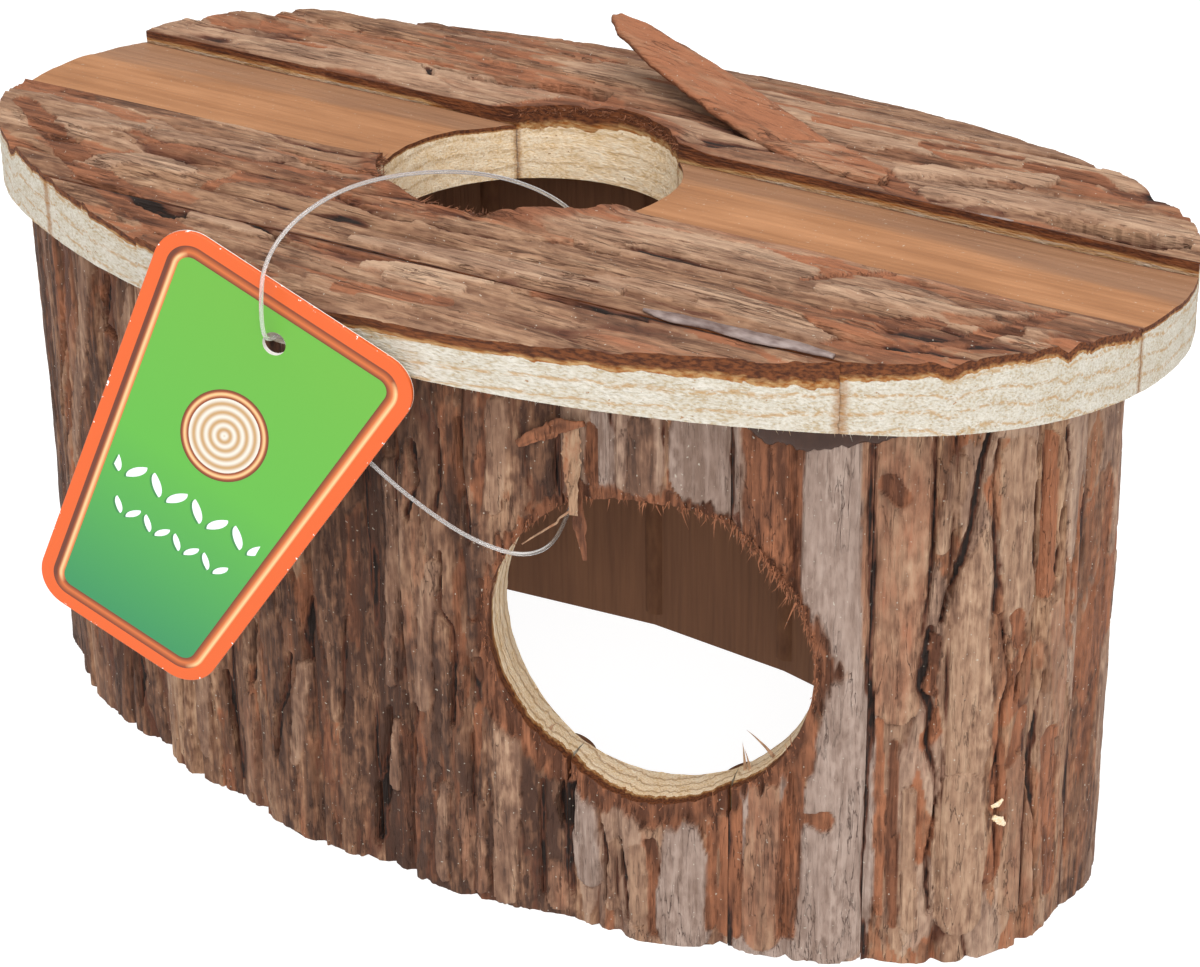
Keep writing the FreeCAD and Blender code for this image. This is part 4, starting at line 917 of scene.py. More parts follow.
# ---------------------------------------------------------------- materials
@material_maker
def conifer_bark(tree, direction):
    """Rough flaky bark: dull, fibrous along the grain, reddish where a layer has come off."""
    # The plates are longer on the roof than on the wall.
    stretch = 2.4 if direction == "X" else 1.0
    level, rust, grey, crack = (add_node(tree, MESH_VALUE, output="Fac", attribute_name=name)
                                for name in ("tone", "rust", "grey", "crack"))
    fibres = grain_noise(tree, 0.4, 5.0, direction, 5.0)
    scales = grain_noise(tree, 1.1, 2.6 * stretch, direction, 6.0, 2.0)
    blotches = grain_noise(tree, 5.0, 14.0 * stretch, direction, 4.0, 3.0)
    warmth = grain_noise(tree, 2.6, 8.0 * stretch, direction, 4.0, 6.0)
    # Some plates are worn smooth, others are still rough.
    worn = add_node(tree, RAMP, grain_noise(tree, 4.5, 22.0, direction, 3.0, 14.0),
                    stops=((0.38, 0.3), (0.6, 1)))
    # The fibres and scales that the bump raises are painted lighter and the deep ones darker: painted
    # light and shade over the bark's own tones.
    tone = (fibres.centred(0.7) + scales.centred(1.2 / stretch ** 0.5)) * worn
    tone = tone + blotches.centred(0.55) + level
    plate = add_node(tree, RAMP, tone, stops=(
        (0.08, "bark_dark"), (0.4, "bark_brown"), (0.68, "bark_tan"), (1.0, "bark_pale")))
    torn = add_node(tree, RAMP, tone, stops=((0.1, "rust_dark"), (0.75, "rust_light")))
    weathered = add_node(tree, RAMP, tone, stops=((0.2, "weathered_dark"), (0.8, "weathered")))
    redness = rust * 1.4 + (0.1 * stretch - 0.45) + fibres.centred(0.6) + warmth.centred(1.3)
    # Hairline cracks wander along the grain where the bark has begun to scale off.
    veins = grain_noise(tree, 1.5, 13.0 * stretch, direction, 4.0, 11.0)
    hairline = add_node(tree, RAMP, add_node(tree, MATHS, 0.5 - veins, operation="ABSOLUTE"),
                        stops=((0.0, 1), (0.012 * stretch, 0)))
    scaling = add_node(tree, RAMP, grain_noise(tree, 6.0, 18.0, direction, 2.0, 8.0),
                       stops=((0.44, 0), (0.6, 1)))
    gap = crack + scales.centred(0.8) + fibres.centred(0.5)
    gap = add_node(tree, MATHS, gap, hairline * scaling * 0.7, operation="MAXIMUM")
    # Cracks, hairlines, joints and furrows get painted shade: brown on their sides, near black at their
    # bottom.
    colour = coated(plate, (redness, torn, 0.0, 0.6), (grey, weathered),
                    (gap, "crack_side", 0.38, 0.72), (gap, "crack", 0.72, 0.95),
                    (sawdust(tree), "wood_pale"))
    relief = add_node(tree, BUMP, Height=fibres + scales + gap * -0.8, Distance=0.6 * MM)
    return add_node(tree, SHADER, Base_Color=colour, Roughness=0.78, Specular_IOR_Level=0.35,
                    Normal=relief)


@material_maker
def sawn_wood(tree, direction, bored=False):
    """Sawn softwood: pale, rough from the saw, bark along one edge; warmer where it was bored."""
    kind = "bored" if bored else "wood"
    upright = direction == "Z"
    ring_pitch = 2.3 if upright else 3.1
    depth, layer, joint = (add_node(tree, MESH_VALUE, output="Fac", attribute_name=name)
                           for name in ("depth", "layer", "joint"))
    fuzz = grain_noise(tree, 0.35, 1.3, direction, 5.0, 1.0)
    clouds = grain_noise(tree, 2.5, 6.0, direction, 3.0, 4.0)
    dashes = grain_noise(tree, 0.5, 6.0, direction, 3.0, 8.0)
    broad = grain_noise(tree, 8.0, 60.0, direction, 2.0, 5.0)
    rings = add_node(tree, MATHS, depth * (2 * math.pi / ring_pitch) + broad * 7.0, operation="SINE")
    line = add_node(tree, RAMP, rings, stops=((0.6, 0), (1.0, 1)))
    if not upright:
        line = line * add_node(tree, RAMP, dashes, stops=((0.4, 0), (0.55, 1)))
    # The fuzz that the bump raises is painted lighter and its hollows darker: painted light and shade.
    wood = add_node(tree, RAMP, fuzz + clouds.centred(0.5), stops=(
        (0.3, kind + "_shade"), (0.48, kind + "_pale"), (0.7, kind + "_light")))
    flecks = add_node(tree, RAMP, grain_noise(tree, 0.5, 1.0, direction, 2.0, 9.0),
                      stops=((0.69, 0), (0.75, 1)))
    layer = layer + grain_noise(tree, 0.7, 7.0, direction, 5.0, 7.0).centred(0.4)
    ochre = coated("inner_bark", (dashes, "wood_ring", 0.35, 0.65))
    brown = coated("bark_edge_dark", (fuzz * 0.35 + dashes * 0.65, "bark_edge", 0.4, 0.6))
    # Glue and dust have darkened the wood along the joints; the bark lies over the outer layers.
    colour = coated(wood, (line * (0.6 if bored else 0.8), "wood_fleck" if upright else "wood_ring"),
                    (flecks * 0.8, "wood_fleck"), (joint * (dashes + 0.2), "wood_fleck"),
                    (layer, ochre, 1.0, 0.97), (layer, brown, 0.82, 0.62))
    relief = add_node(tree, BUMP, Height=fuzz, Distance=(0.3 if bored else 0.6) * MM)
    return add_node(tree, SHADER, Base_Color=colour, Roughness=0.82, Specular_IOR_Level=0.3,
                    Normal=relief)


@material_maker
def brown_wood(tree):
    """Inner faces of the upright slats: brown, fibrous and dull."""
    fibres = grain_noise(tree, 0.9, 22.0, "Z", 5.0)
    blotches = grain_noise(tree, 8.0, 40.0, "Z", 3.0, 3.0)
    tone = fibres * 0.7 + blotches * 0.6 - 0.15
    return add_node(tree, SHADER, Base_Color=coated("inside_dark", (tone, "inside", 0.2, 0.8)),
                    Roughness=0.85, Specular_IOR_Level=0.25,
                    Normal=add_node(tree, BUMP, Height=fibres, Distance=0.3 * MM))


@material_maker
def peeled_wood(tree):
    """Inner bark left on peeled wood: smooth, satin, orange tan, with fine fibres."""
    level, rust, crack = (add_node(tree, MESH_VALUE, output="Fac", attribute_name=name)
                          for name in ("tone", "rust", "crack"))
    fibres = grain_noise(tree, 0.8, 26.0, "X", 4.0)
    blotches = grain_noise(tree, 7.0, 30.0, "X", 4.0, 3.0)
    face = add_node(tree, RAMP, level + fibres.centred(0.4) + blotches.centred(1.0), stops=(
        (0.1, "peeled_dark"), (0.5, "peeled"), (0.95, "peeled_light")))
    worn = coated("bark_brown", (fibres, "bark_tan"))
    colour = coated(face, (rust * 0.7, worn), (crack, "rust_dark"), (sawdust(tree), "wood_pale"))
    return add_node(tree, SHADER, Base_Color=colour, Roughness=0.5, Coat_Weight=0.12,
                    Coat_Roughness=0.35,
                    Normal=add_node(tree, BUMP, Height=fibres, Distance=0.15 * MM))


@material_maker
def hot_glue(tree, dusty=False):
    """Set hot-melt glue: half clear, darkened by the bark under it, glossy unless dust lies on it."""
    clouds = grain_noise(tree, 1.5, 4.0, "Z", 3.0)
    thin, thick = ("glue_light", "inside") if dusty else ("glue_dark", "glue_light")
    return add_node(tree, SHADER, Base_Color=coated(thin, (clouds, thick)),
                    Roughness=0.8 if dusty else 0.3, Specular_IOR_Level=0.1 if dusty else 0.3,
                    Normal=add_node(tree, BUMP, Height=clouds, Distance=0.3 * MM))


@material_maker
def milky_glue(tree):
    """Thick hot-melt glue with air in it: whitish and glossy."""
    clouds = grain_noise(tree, 1.2, 3.0, "X", 4.0)
    colour = coated("glue_milky_dark", (clouds, "glue_milky", 0.35, 0.65))
    return add_node(tree, SHADER, Base_Color=colour, Roughness=0.3,
                    Normal=add_node(tree, BUMP, Height=clouds, Distance=0.1 * MM))


def disc(u, v, centre, radii):
    """Distance from an ellipse's middle: 1 on the ellipse."""
    run = (u - centre[0]) / radii[0]
    rise = (v - centre[1]) / radii[1]
    return add_node(u.tree, MATHS, run * run + rise * rise, operation="SQRT")


def leaf_row(u, v, middle, reach, pitch, shift):
    """Mask of a row of slanting leaves round v = middle, within reach of u = 0."""
    tree = u.tree
    u = u + shift
    v = v + (shift - middle)
    number, local = (add_node(tree, MATHS, u / pitch, operation=part) for part in ("FLOOR", "FRACT"))
    # Every other leaf slants the other way.
    slant = add_node(tree, MATHS, number, 1.0, operation="PINGPONG") * 1.3 - 0.65
    across = (local - 0.5) * pitch - v * slant
    # A leaf is where two discs overlap.
    runs = [across + side * pitch * 0.34 for side in (-1, 1)]
    sides = [add_node(tree, MATHS, run * run + v * v, operation="SQRT") for run in runs]
    leaf = add_node(tree, MATHS, *sides, operation="MAXIMUM") < pitch * 0.58
    return leaf * (add_node(tree, MATHS, u, operation="ABSOLUTE") < reach)


@material_maker
def printed_card(tree):
    """Varnished board: orange border, moulded frame line, green panel with leaves and a log end."""
    edge, side, u, v = (add_node(tree, MESH_VALUE, output="Fac", attribute_name=name)
                        for name in ("edge", "side", "u", "v"))
    down = (TAG_ABOVE_HOLE - v) / (TAG_ABOVE_HOLE + TAG_BELOW_HOLE)
    panel = add_node(tree, RAMP, down, stops=(
        (0.1, "panel_top"), (0.5, "panel_middle"), (0.95, "panel_bottom")))
    for row in ((-35.5, 14.0, 4.0), (-43.0, 11.6, 2.9)):
        panel = coated(panel, (leaf_row(u, v, *row, 0.3) * 0.75, "print_shadow"),
                       (leaf_row(u, v, *row, 0.0), "print_white"))
    round_end = disc(u, v, (0.0, -20.0), (7.6, 8.6))
    rings = add_node(tree, MATHS, round_end * 34.0, operation="SINE") * 0.5 + 0.5
    hoop = add_node(tree, RAMP, round_end, stops=(
        (0.80, "bead_dark"), (0.84, "bead_brown"), (0.90, "bead_gold"), (0.95, "bead_brown"),
        (0.99, "bead_dark")))
    log_end = coated("wood_ring", (rings, "wood_light"), (round_end > 0.81, hoop))
    panel = coated(panel, (round_end < 1.0, log_end))
    # The frame line is drawn as a moulding lit from the left: its bright line changes sides.
    share = edge * 0.5 - 1.15
    plain = add_node(tree, RAMP, share, stops=(
        (0.0, "bead_dark"), (0.22, "bead_brown"), (0.55, "bead_lit"), (0.8, "bead_brown"),
        (1.0, "bead_dark")))
    left = add_node(tree, RAMP, share, stops=(
        (0.0, "bead_dark"), (0.3, "bead_dark"), (0.45, "bead_brown"), (0.68, "bead_gold"),
        (0.95, "bead_lit")))
    right = add_node(tree, RAMP, share, stops=(
        (0.0, "bead_lit"), (0.2, "bead_gold"), (0.5, "bead_lit"), (0.75, "bead_brown"),
        (1.0, "bead_dark")))
    bead = coated(plain, (side, right, 0.5, 0.9), (side * -1.0, left, 0.5, 0.9))
    wear = grain_noise(tree, 1.1, 1.1, "Z", 3.0)
    colour = coated("border", (edge > 2.3, bead), (edge > 4.3, panel),
                    ((edge < 0.35) * (wear > 0.66), "board"))
    return add_node(tree, SHADER, Base_Color=colour, Roughness=0.4, Specular_IOR_Level=0.35,
                    Coat_Weight=0.15, Coat_Roughness=0.15)


@material_maker
def raw_board(tree):
    """Uncoated white board at the punched and cut edges."""
    colour = coated("board_shade", (grain_noise(tree, 0.2, 0.2, "Z", 3.0), "board"))
    return add_node(tree, SHADER, Base_Color=colour, Roughness=0.8)


@material_maker
def clear_nylon(tree):
    """Clear nylon filament: glossy and see-through, slightly milky."""
    return add_node(tree, SHADER, Base_Color="#f2f0ee", Roughness=0.08, IOR=1.53,
                    Transmission_Weight=0.75)


@material_maker
def moulded_nylon(tree):
    """Injection-moulded natural nylon: milky white, satin."""
    colour = coated("#d8d6d0", (grain_noise(tree, 0.4, 0.4, "Z", 2.0), "#ecebe6"))
    return add_node(tree, SHADER, Base_Color=colour, Roughness=0.4, IOR=1.53)


@material_maker
def studio_floor(tree):
    """Matt white sheet lit from below, which keeps shadows light."""
    return add_node(tree, SHADER, Base_Color="#8c8c8c", Roughness=0.9, Specular_IOR_Level=0.1,
                    Emission_Color="#ffffff", Emission_Strength=0.92)


# ---------------------------------------------------------------- what a user may change
COLOURS = {
    # The bark's darker tones fall on deep fibres and its paler ones on raised fibres: painted shade and
    # light as well as the bark's own tones.
    "bark_dark": ("#452b1e", "Deep fibres of the bark"),
    "bark_brown": ("#74503a", "Middle tone of the bark"),
    "bark_tan": ("#9b765a", "Dry plates of the bark"),
    "bark_pale": ("#b99678", "Palest fibres of the bark"),
    "rust_dark": ("#593421", "Torn inner layers, shaded"),
    "rust_light": ("#9a6243", "Torn inner layers"),
    "weathered": ("#a9958a", "Weathered grey plates"),
    "weathered_dark": ("#80695c", "Weathered plates, shaded"),
    "crack_side": ("#5a3322", "Shaded sides of the cracks"),
    # Painted shade at the bottom of the cracks.
    "crack": ("#1f130d", "Bottom of the cracks"),
    "inner_bark": ("#94561f", "Orange line between bark and wood"),
    "bark_edge": ("#7a4524", "Sawn edge of the bark"),
    "bark_edge_dark": ("#482412", "Sawn edge of the bark, shaded"),
    # The light and shade tones of bored and sawn wood are painted light on raised fibres and painted
    # shade in hollows.
    "bored_pale": ("#ecd3b0", "Wall of the bored holes"),
    "bored_light": ("#f5e5cc", "Their raised fibres"),
    "bored_shade": ("#dcbb8c", "Their hollows"),
    "wood_pale": ("#cdc5b5", "Sawn wood"),
    "wood_light": ("#dcd6ca", "Raised fibres of sawn wood"),
    "wood_shade": ("#bba88a", "Hollows of sawn wood"),
    "wood_ring": ("#ba9464", "Late wood of the growth rings"),
    "wood_fleck": ("#a0703f", "Torn flecks of sawn wood"),
    "peeled": ("#9f6b42", "Peeled slat"),
    "peeled_light": ("#bb8459", "Peeled slat, palest"),
    "peeled_dark": ("#80522f", "Peeled slat, darkest"),
    "inside": ("#7a543b", "Inner faces of the upright slats"),
    "inside_dark": ("#5c3d2b", "Their darker fibres"),
    "glue_dark": ("#2c1a13", "Hot glue over bark"),
    "glue_light": ("#4a2f22", "Hot glue where it is thick"),
    "glue_milky": ("#93827c", "Glue with air in it, on the roof"),
    "glue_milky_dark": ("#5f4a44", "Where that glue is thin"),
    "border": ("#d85c20", "Border of the tag"),
    "bead_dark": ("#65301c", "Shaded side of the tag's frame line"),
    "bead_brown": ("#97481f", "The tag's frame line"),
    "bead_lit": ("#c96a34", "Lit side of the tag's frame line"),
    "bead_gold": ("#f6c48c", "Bright line of the tag's frame line"),
    "panel_top": ("#63a838", "Upper end of the tag's panel"),
    "panel_middle": ("#58aa3c", "Middle of the tag's panel"),
    "panel_bottom": ("#2c8552", "Lower end of the tag's panel"),
    "print_white": ("#e9eef4", "Leaves printed on the tag"),
    "print_shadow": ("#2f7440", "Their printed shadows"),
    "board": ("#f4f1ec", "Cut edge of the tag"),
    "board_shade": ("#d9d4cc", "Cut edge of the tag, shaded"),
}


class HamsterHouseColours(bpy.types.PropertyGroup):
    """Colours of the house."""

    __annotations__ = {
        name: bpy.props.FloatVectorProperty(
            name=name.replace("_", " ").capitalize(), subtype="COLOR", size=3, min=0, max=1,
            default=linear(hexa), description=description)
        for name, (hexa, description) in COLOURS.items()}


class HamsterHouseSizes(bpy.types.PropertyGroup):
    """Sizes of the finish."""

    relief_step: bpy.props.FloatProperty(
        name="Relief step", default=0.4 * MM, min=0.2 * MM, max=5 * MM, unit="LENGTH", precision=5,
        description="Spacing of the points that carry the bark's relief")
    saw_roughness: bpy.props.FloatProperty(
        name="Saw roughness", default=0.13 * MM, min=0, max=1 * MM, unit="LENGTH", precision=5,
        description="How far the saw tore fibres out of its cut")


def relief_step():
    return bpy.context.scene.hamster_house_sizes.relief_step / MM


# ---------------------------------------------------------------- cutters
def saw_cut(name, ring, low, high, outward, material):
    """Closed prism round a plan outline, rough as the saw leaves it."""
    rough = bpy.context.scene.hamster_house_sizes.saw_roughness / MM
    levels = np.linspace(low, high, round((high - low) / relief_step()) + 1)
    reach = np.linalg.norm(np.diff(np.vstack([ring, ring[:1]]), axis=0), axis=1).cumsum()
    station, level = np.meshgrid(reach, levels)
    torn = layered(station / 2.2, level / 0.9, 301, 2) + 1.4 * layered(station / 30, level / 60, 305)
    moved = ring[None] + outward[None] * (torn * rough * 2)[..., None]
    return tube_mesh(name, np.concatenate([moved, level[..., None]], -1), [material])


def evenly(ring, step):
    """Points of a closed outline at even steps, and their outward normals."""
    closed = np.vstack([ring, ring[:1]])
    run = np.concatenate([[0], np.linalg.norm(np.diff(closed, axis=0), axis=1).cumsum()])
    places = np.linspace(0, run[-1], round(run[-1] / step), endpoint=False)
    points = np.stack([np.interp(places, run, closed[:, k]) for k in (0, 1)], -1)
    ahead = np.roll(points, -3, 0) - np.roll(points, 3, 0)
    return points, unit(np.stack([ahead[:, 1], -ahead[:, 0]], -1))


def roof_plan():
    """Outline of the roof, and the heights of its underside and top."""
    names = nodes_of("roof_slat")
    boxes = [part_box(name) for name in names]
    return (hull(np.concatenate([node_points(name)[:, :2] for name in names])),
            min(low.z for low, high in boxes) / MM, max(high.z for low, high in boxes) / MM)


def roof_cutters(sawn, bored):
    """The oval that the roof is sawn to, and its round hole."""
    oval, low, high = roof_plan()
    ring, outward = evenly(oval, relief_step())
    outline = saw_cut("oval", ring - outward * SAW_MARGIN, low, high + 3, outward, sawn)
    outward = around(np.arange(0, 2 * math.pi, relief_step() / ROOF_HOLE_RADIUS))
    hole = saw_cut("hole", np.array(ROOF_HOLE) + outward * ROOF_HOLE_RADIUS, low - 1, high + 3,
                   outward, bored)
    return outline, hole


def door_cutter(material):
    """The entrance's bore."""
    outward = around(np.arange(0, 2 * math.pi, relief_step() / DOOR_RADIUS))
    mesh = saw_cut("door", outward * DOOR_RADIUS, -20, 20, outward, material)
    facing = Matrix.Rotation(DOOR_FACING, 4, "Z") @ Matrix.Rotation(math.pi / 2, 4, "Y")
    mesh.transform(Matrix.Translation(Vector(DOOR_MIDDLE) * MM) @ facing)
    return mesh


# ---------------------------------------------------------------- the pieces
WALL_LOOKS = {
    "wall_slat_01": PLATED._replace(tone=0.10, grey=0.35, rust=0.26),
    "wall_slat_02": PLATED._replace(width=12, length=120, grey=0.9, tone=0.12, rust=0.08, step=0.6),
    "wall_slat_03_above_door": PLATED._replace(tone=0.02, grey=0.4),
    "wall_slat_03_below_door": PLATED._replace(tone=0.0, grey=0.3, width=7),
    "wall_slat_04": STRINGY._replace(tone=-0.27),
    "wall_slat_05": STRINGY._replace(tone=-0.16),
    "wall_slat_06": STRINGY._replace(tone=0.04),
    "wall_slat_07": STRINGY._replace(tone=-0.16, crack=0.2),
    "wall_slat_08": STRINGY._replace(tone=-0.34, crack=0.2),
}
PLAIN_LOOKS = [PLATED, STRINGY._replace(tone=-0.02), PLATED._replace(tone=-0.05, rust=0.35)]


def finish_piece(piece, slot, *nodes, body=HOUSE):
    """Ride on a body, the house as a rule, and stand for the CAD nodes."""
    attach(piece, body)
    if nodes:
        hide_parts(*nodes)


def dress_node(name, material):
    """Show a CAD node itself, in a material."""
    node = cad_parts[name]
    node.data.materials.clear()
    node.data.materials.append(material)
    return node


class HOUSE_OT_wall(bpy.types.Operator):
    """Upright slats with their bark"""

    bl_idname = "hamster_house.wall"
    bl_label = "Wall slats"

    def execute(self, context):
        skin = conifer_bark("upright conifer bark", "Z")
        wood = sawn_wood("sawn softwood, upright", "Z")
        bored = sawn_wood("bored softwood, upright", "Z", True)
        # The slats' inner faces get a dark brown wood.
        inside = brown_wood("dark brown inner faces")
        for number, name in enumerate(sorted(nodes_of("wall_slat"))):
            look = WALL_LOOKS.get(name, PLAIN_LOOKS[number % len(PLAIN_LOOKS)])
            slat = WallSlat(name, 100 + 37 * number, look)
            piece = shown(name + "_bark", slat_mesh(slat, [skin, wood, inside]))
            # Only the slats that the entrance touches are bored.
            points = slat.place(np.linspace(0, slat.width, 20).repeat(20),
                                np.tile(np.linspace(slat.low, slat.high, 20), 20), 0.0)
            if door_distance(points)[0].min() < 0:
                carve(piece, door_cutter(bored), "DIFFERENCE")
            dress(piece, slat)
            finish_piece(piece, "bark", name)
        return {"FINISHED"}


class HOUSE_OT_roof(bpy.types.Operator):
    """Slats of the roof, sawn to an oval with a round hole"""

    bl_idname = "hamster_house.roof"
    bl_label = "Roof slats"

    def execute(self, context):
        skin = conifer_bark("lying conifer bark", "X")
        smooth_skin = peeled_wood("peeled inner bark")
        wood = sawn_wood("sawn softwood, lying", "X")
        bored = sawn_wood("bored softwood, lying", "X", True)
        slats = [
            RoofSlat("roof_slat_front_edge", 701, ROOF_EDGE),
            RoofSlat("roof_slat_front", 741, ROOF_PLATED),
            PeeledSlat("roof_slat_bare_left", 781, ROOF_PLATED),
            PeeledSlat("roof_slat_bare_right", 781, ROOF_PLATED),
            RoofSlat("roof_slat_rear", 821, ROOF_PLATED),
            RoofSlat("roof_slat_rear_edge", 861, ROOF_PLATED),
        ]
        outline, hole = roof_cutters(wood, bored)
        for slat in slats:
            peeled = isinstance(slat, PeeledSlat)
            faces = [smooth_skin if peeled else skin, wood]
            piece = shown(slat.node + "_bark", slat_mesh(slat, faces))
            carve(piece, outline, "INTERSECT")
            carve(piece, hole, "DIFFERENCE")
            dress(piece, slat)
            finish_piece(piece, "peeled_wood" if peeled else "bark", slat.node)
        return {"FINISHED"}


class HOUSE_OT_glue(bpy.types.Operator):
    """Hot glue between the slats and under the roof"""

    bl_idname = "hamster_house.glue"
    bl_label = "Hot glue"

    def execute(self, context):
        for name in ("glue_ring_under_roof", "glue_lines_between_slats"):
            dress_node(name, hot_glue("dusty hot-melt glue", True))
        return {"FINISHED"}


def strip_place(along, across, lift):
    """Point on the peeled strip's lower side, which lies at its root and stands up beyond it."""
    crown, crown_y, radius = ROOF_SLATS["roof_slat_rear"][0]
    drop = radius - math.sqrt(radius ** 2 - (STRIP_ROOT[1] - crown_y) ** 2)
    root_z = WALL_TOP + crown - drop - STRIP_BITE
    rise = STRIP_RISE * np.clip((along - STRIP_FOOT) / (STRIP_LENGTH - STRIP_FOOT), 0, 1) ** 1.1
    x = STRIP_ROOT[0] + along * math.cos(STRIP_ANGLE) - across * math.sin(STRIP_ANGLE)
    y = STRIP_ROOT[1] + along * math.sin(STRIP_ANGLE) + across * math.cos(STRIP_ANGLE)
    return np.stack([x, y, root_z + rise + lift], -1)


class HOUSE_OT_bark_strip(bpy.types.Operator):
    """Strip of bark that has come loose and stands up from the roof"""

    bl_idname = "hamster_house.bark_strip"
    bl_label = "Loose bark strip"

    def execute(self, context):
        # It is widest halfway, frayed along its sides and folded where it leaves the roof.
        along = np.linspace(0, STRIP_LENGTH, 200)
        bulge = (STRIP_WIDTH - STRIP_TIP_WIDTH) / 2 * 4 * along * (STRIP_LENGTH - along)
        half = STRIP_TIP_WIDTH / 2 + bulge / STRIP_LENGTH ** 2
        half = half * np.interp(along, [0, 3, STRIP_LENGTH - 5, STRIP_LENGTH], [0.5, 1, 1, 0.55])
        share = np.linspace(-1, 1, 41)
        s, w = np.meshgrid(along, share, indexing="ij")
        ragged = 0.7 * layered(s / 3.5, w * 0 + np.sign(w), 411) * np.abs(w) ** 3
        across = w * half[:, None] + ragged
        fibre = layered(across / 1.1, s / 14, 415)
        fold = 0.7 * np.exp(-((s - STRIP_FOOT - across * 0.8) / 1.6) ** 2)
        curl = 0.5 * w ** 2 + 0.3 * fibre
        thick = STRIP_THICKNESS * (1 - 0.55 * w ** 6)
        upper = strip_place(s, across, curl + thick - fold)
        lower = strip_place(s, across, curl)
        loops = np.concatenate([upper[:, ::-1], lower], 1)
        mesh = tube_mesh("bark_strip_peeled", loops, [conifer_bark("lying conifer bark", "X")])
        piece = shown("bark_strip_peeled", mesh)
        rows = [np.concatenate([upper_rows[:, ::-1], lower_rows], 1).ravel()
                for upper_rows, lower_rows in ((s, s), (across, across), (fold, 0.6 + 0 * fold))]
        streak = layered(rows[1] / 0.9, rows[0] / 16, 431, 3)
        foot = 1 - smooth(STRIP_FOOT - 6, STRIP_FOOT, rows[0])
        # Its underside and the crease of its fold are painted darker, as shade.
        set_loose(mesh, 0.78 + 0.5 * streak + 0.35 * foot - 0.35 * rows[2],
                  np.clip(0.6 - 0.1 * foot + 0.3 * streak, 0, 1))
        mesh.shade_smooth()
        finish_piece(piece, "inner_bark", "bark_strip")
        return {"FINISHED"}


# ---------------------------------------------------------------- scraps, fibres and glue
def eased(points, count):
    """A smooth line of count places near the given ones."""
    points = np.array(points, float)
    run = np.linspace(0, len(points) - 1, count)
    line = np.stack([np.interp(run, np.arange(len(points)), column) for column in points.T], -1)
    for _ in range(count // 8):
        line[1:-1] = (line[:-2] + 2 * line[1:-1] + line[2:]) / 4
    return line


def ribbon(name, centre, outward, half, thick, curl, material, finish, seed, rough=0.7):
    """Closed strip of changing width along a line, its edges ragged and curled outwards."""
    for _ in range(6):
        centre[1:-1] = (centre[:-2] + 2 * centre[1:-1] + centre[2:]) / 4
        outward[1:-1] = unit(outward[:-2] + 2 * outward[1:-1] + outward[2:])
    ahead = unit(np.gradient(centre, axis=0))
    side = unit(np.cross(ahead, outward))
    turn = np.linspace(0, 2 * math.pi, 18, endpoint=False)
    wide, deep = np.cos(turn), np.sin(turn)
    rows = np.arange(len(centre))[:, None]
    ragged = 1 + rough * layered(rows / 3.0 + 0 * turn, 2 * np.sign(wide) + 0 * rows, seed)
    reach = half[:, None] * wide * ragged
    rise = thick / 2 * deep + curl * half[:, None] * wide ** 2
    rings = centre[:, None] + reach[..., None] * side[:, None] + rise[..., None] * outward[:, None]
    piece = shown(name, tube_mesh(name, rings, [material]))
    streak = layered(reach / 0.5, rows / 7.0 + 0 * turn, seed + 1, 3).ravel()
    tone, rust = finish
    set_loose(piece.data, tone + 0.7 * streak, rust + 0.6 * streak)
    piece.data.shade_smooth()
    return piece


def fibres(name, roots, ways, length, width, material, tone, rust, seed):
    """One mesh of thin tapered fibres that bend a little."""
    chance = np.random.default_rng(seed)
    count = len(roots)
    ways = unit(ways + 0.25 * chance.normal(size=(count, 3)))
    bend = 0.25 * chance.normal(size=(count, 3))
    first = unit(np.cross(ways, [0.31, 0.52, 0.79]))
    second = np.cross(ways, first)
    rings = []
    for share in (0.0, 0.4, 0.75, 1.0):
        middle = roots + (length * share)[:, None] * (ways + bend * share)
        for turn in np.arange(3) * 2 * math.pi / 3:
            corner = math.cos(turn) * first + math.sin(turn) * second
            rings.append(middle + (width / 2 * (1.05 - share))[:, None] * corner)
    spots = np.stack(rings, 1).reshape(-1, 3)
    faces = []
    for base in range(0, 12 * count, 12):
        faces.append((base, base + 2, base + 1))
        faces.append((base + 9, base + 10, base + 11))
        for ring in (0, 3, 6):
            for k in range(3):
                here, beside = base + ring + k, base + ring + (k + 1) % 3
                faces.append((here, beside, beside + 3, here + 3))
    mesh = bpy.data.meshes.new(name)
    mesh.from_pydata((spots * MM).tolist(), [], faces)
    mesh.materials.append(material)
    hue = np.repeat(chance.uniform(-0.3, 0.3, count), 12)
    set_loose(mesh, tone + hue, rust + 0 * hue)
    return shown(name, mesh)


def on_wall(slats, line):
    """Places off the bark at (way round the ring, height, lift), and the outward directions."""
    spots, outward = [], []
    for station, height, lift in line:
        slat = next((slat for slat in slats if slat.stations[0] <= station <= slat.stations[1]), None)
        if slat is None:
            raise ValueError("no slat at station %.1f" % station)
        last, first = slat.stations
        across = (station - first) / (last - first) * slat.width
        spots.append(slat.place(across, height, lift))
        outward.append(slat.place(across, height, lift + 1) - spots[-1])
    return np.array(spots), np.array(outward)


def on_bore_edge(slats, turn):
    """Place where the entrance's bore leaves the bark, at a turn round its axis."""
    side = np.array([-DOOR_AXIS[1], DOOR_AXIS[0], 0.0])
    ring = DOOR_MIDDLE + DOOR_RADIUS * (math.cos(turn) * side + [0, 0, math.sin(turn)])
    for slat in slats:
        arm = ring[:2] - slat.centre
        ahead = arm @ DOOR_AXIS[:2]
        room = ahead ** 2 - arm @ arm + slat.radius ** 2
        if room < 0:
            continue
        spot = ring + DOOR_AXIS * (math.sqrt(room) - ahead)
        across = slat.locate(spot[None])[0][0]
        if 0 <= across <= slat.width and slat.low - 1 <= spot[2] <= slat.high + 1:
            return spot, unit(ring - DOOR_MIDDLE)
    return None


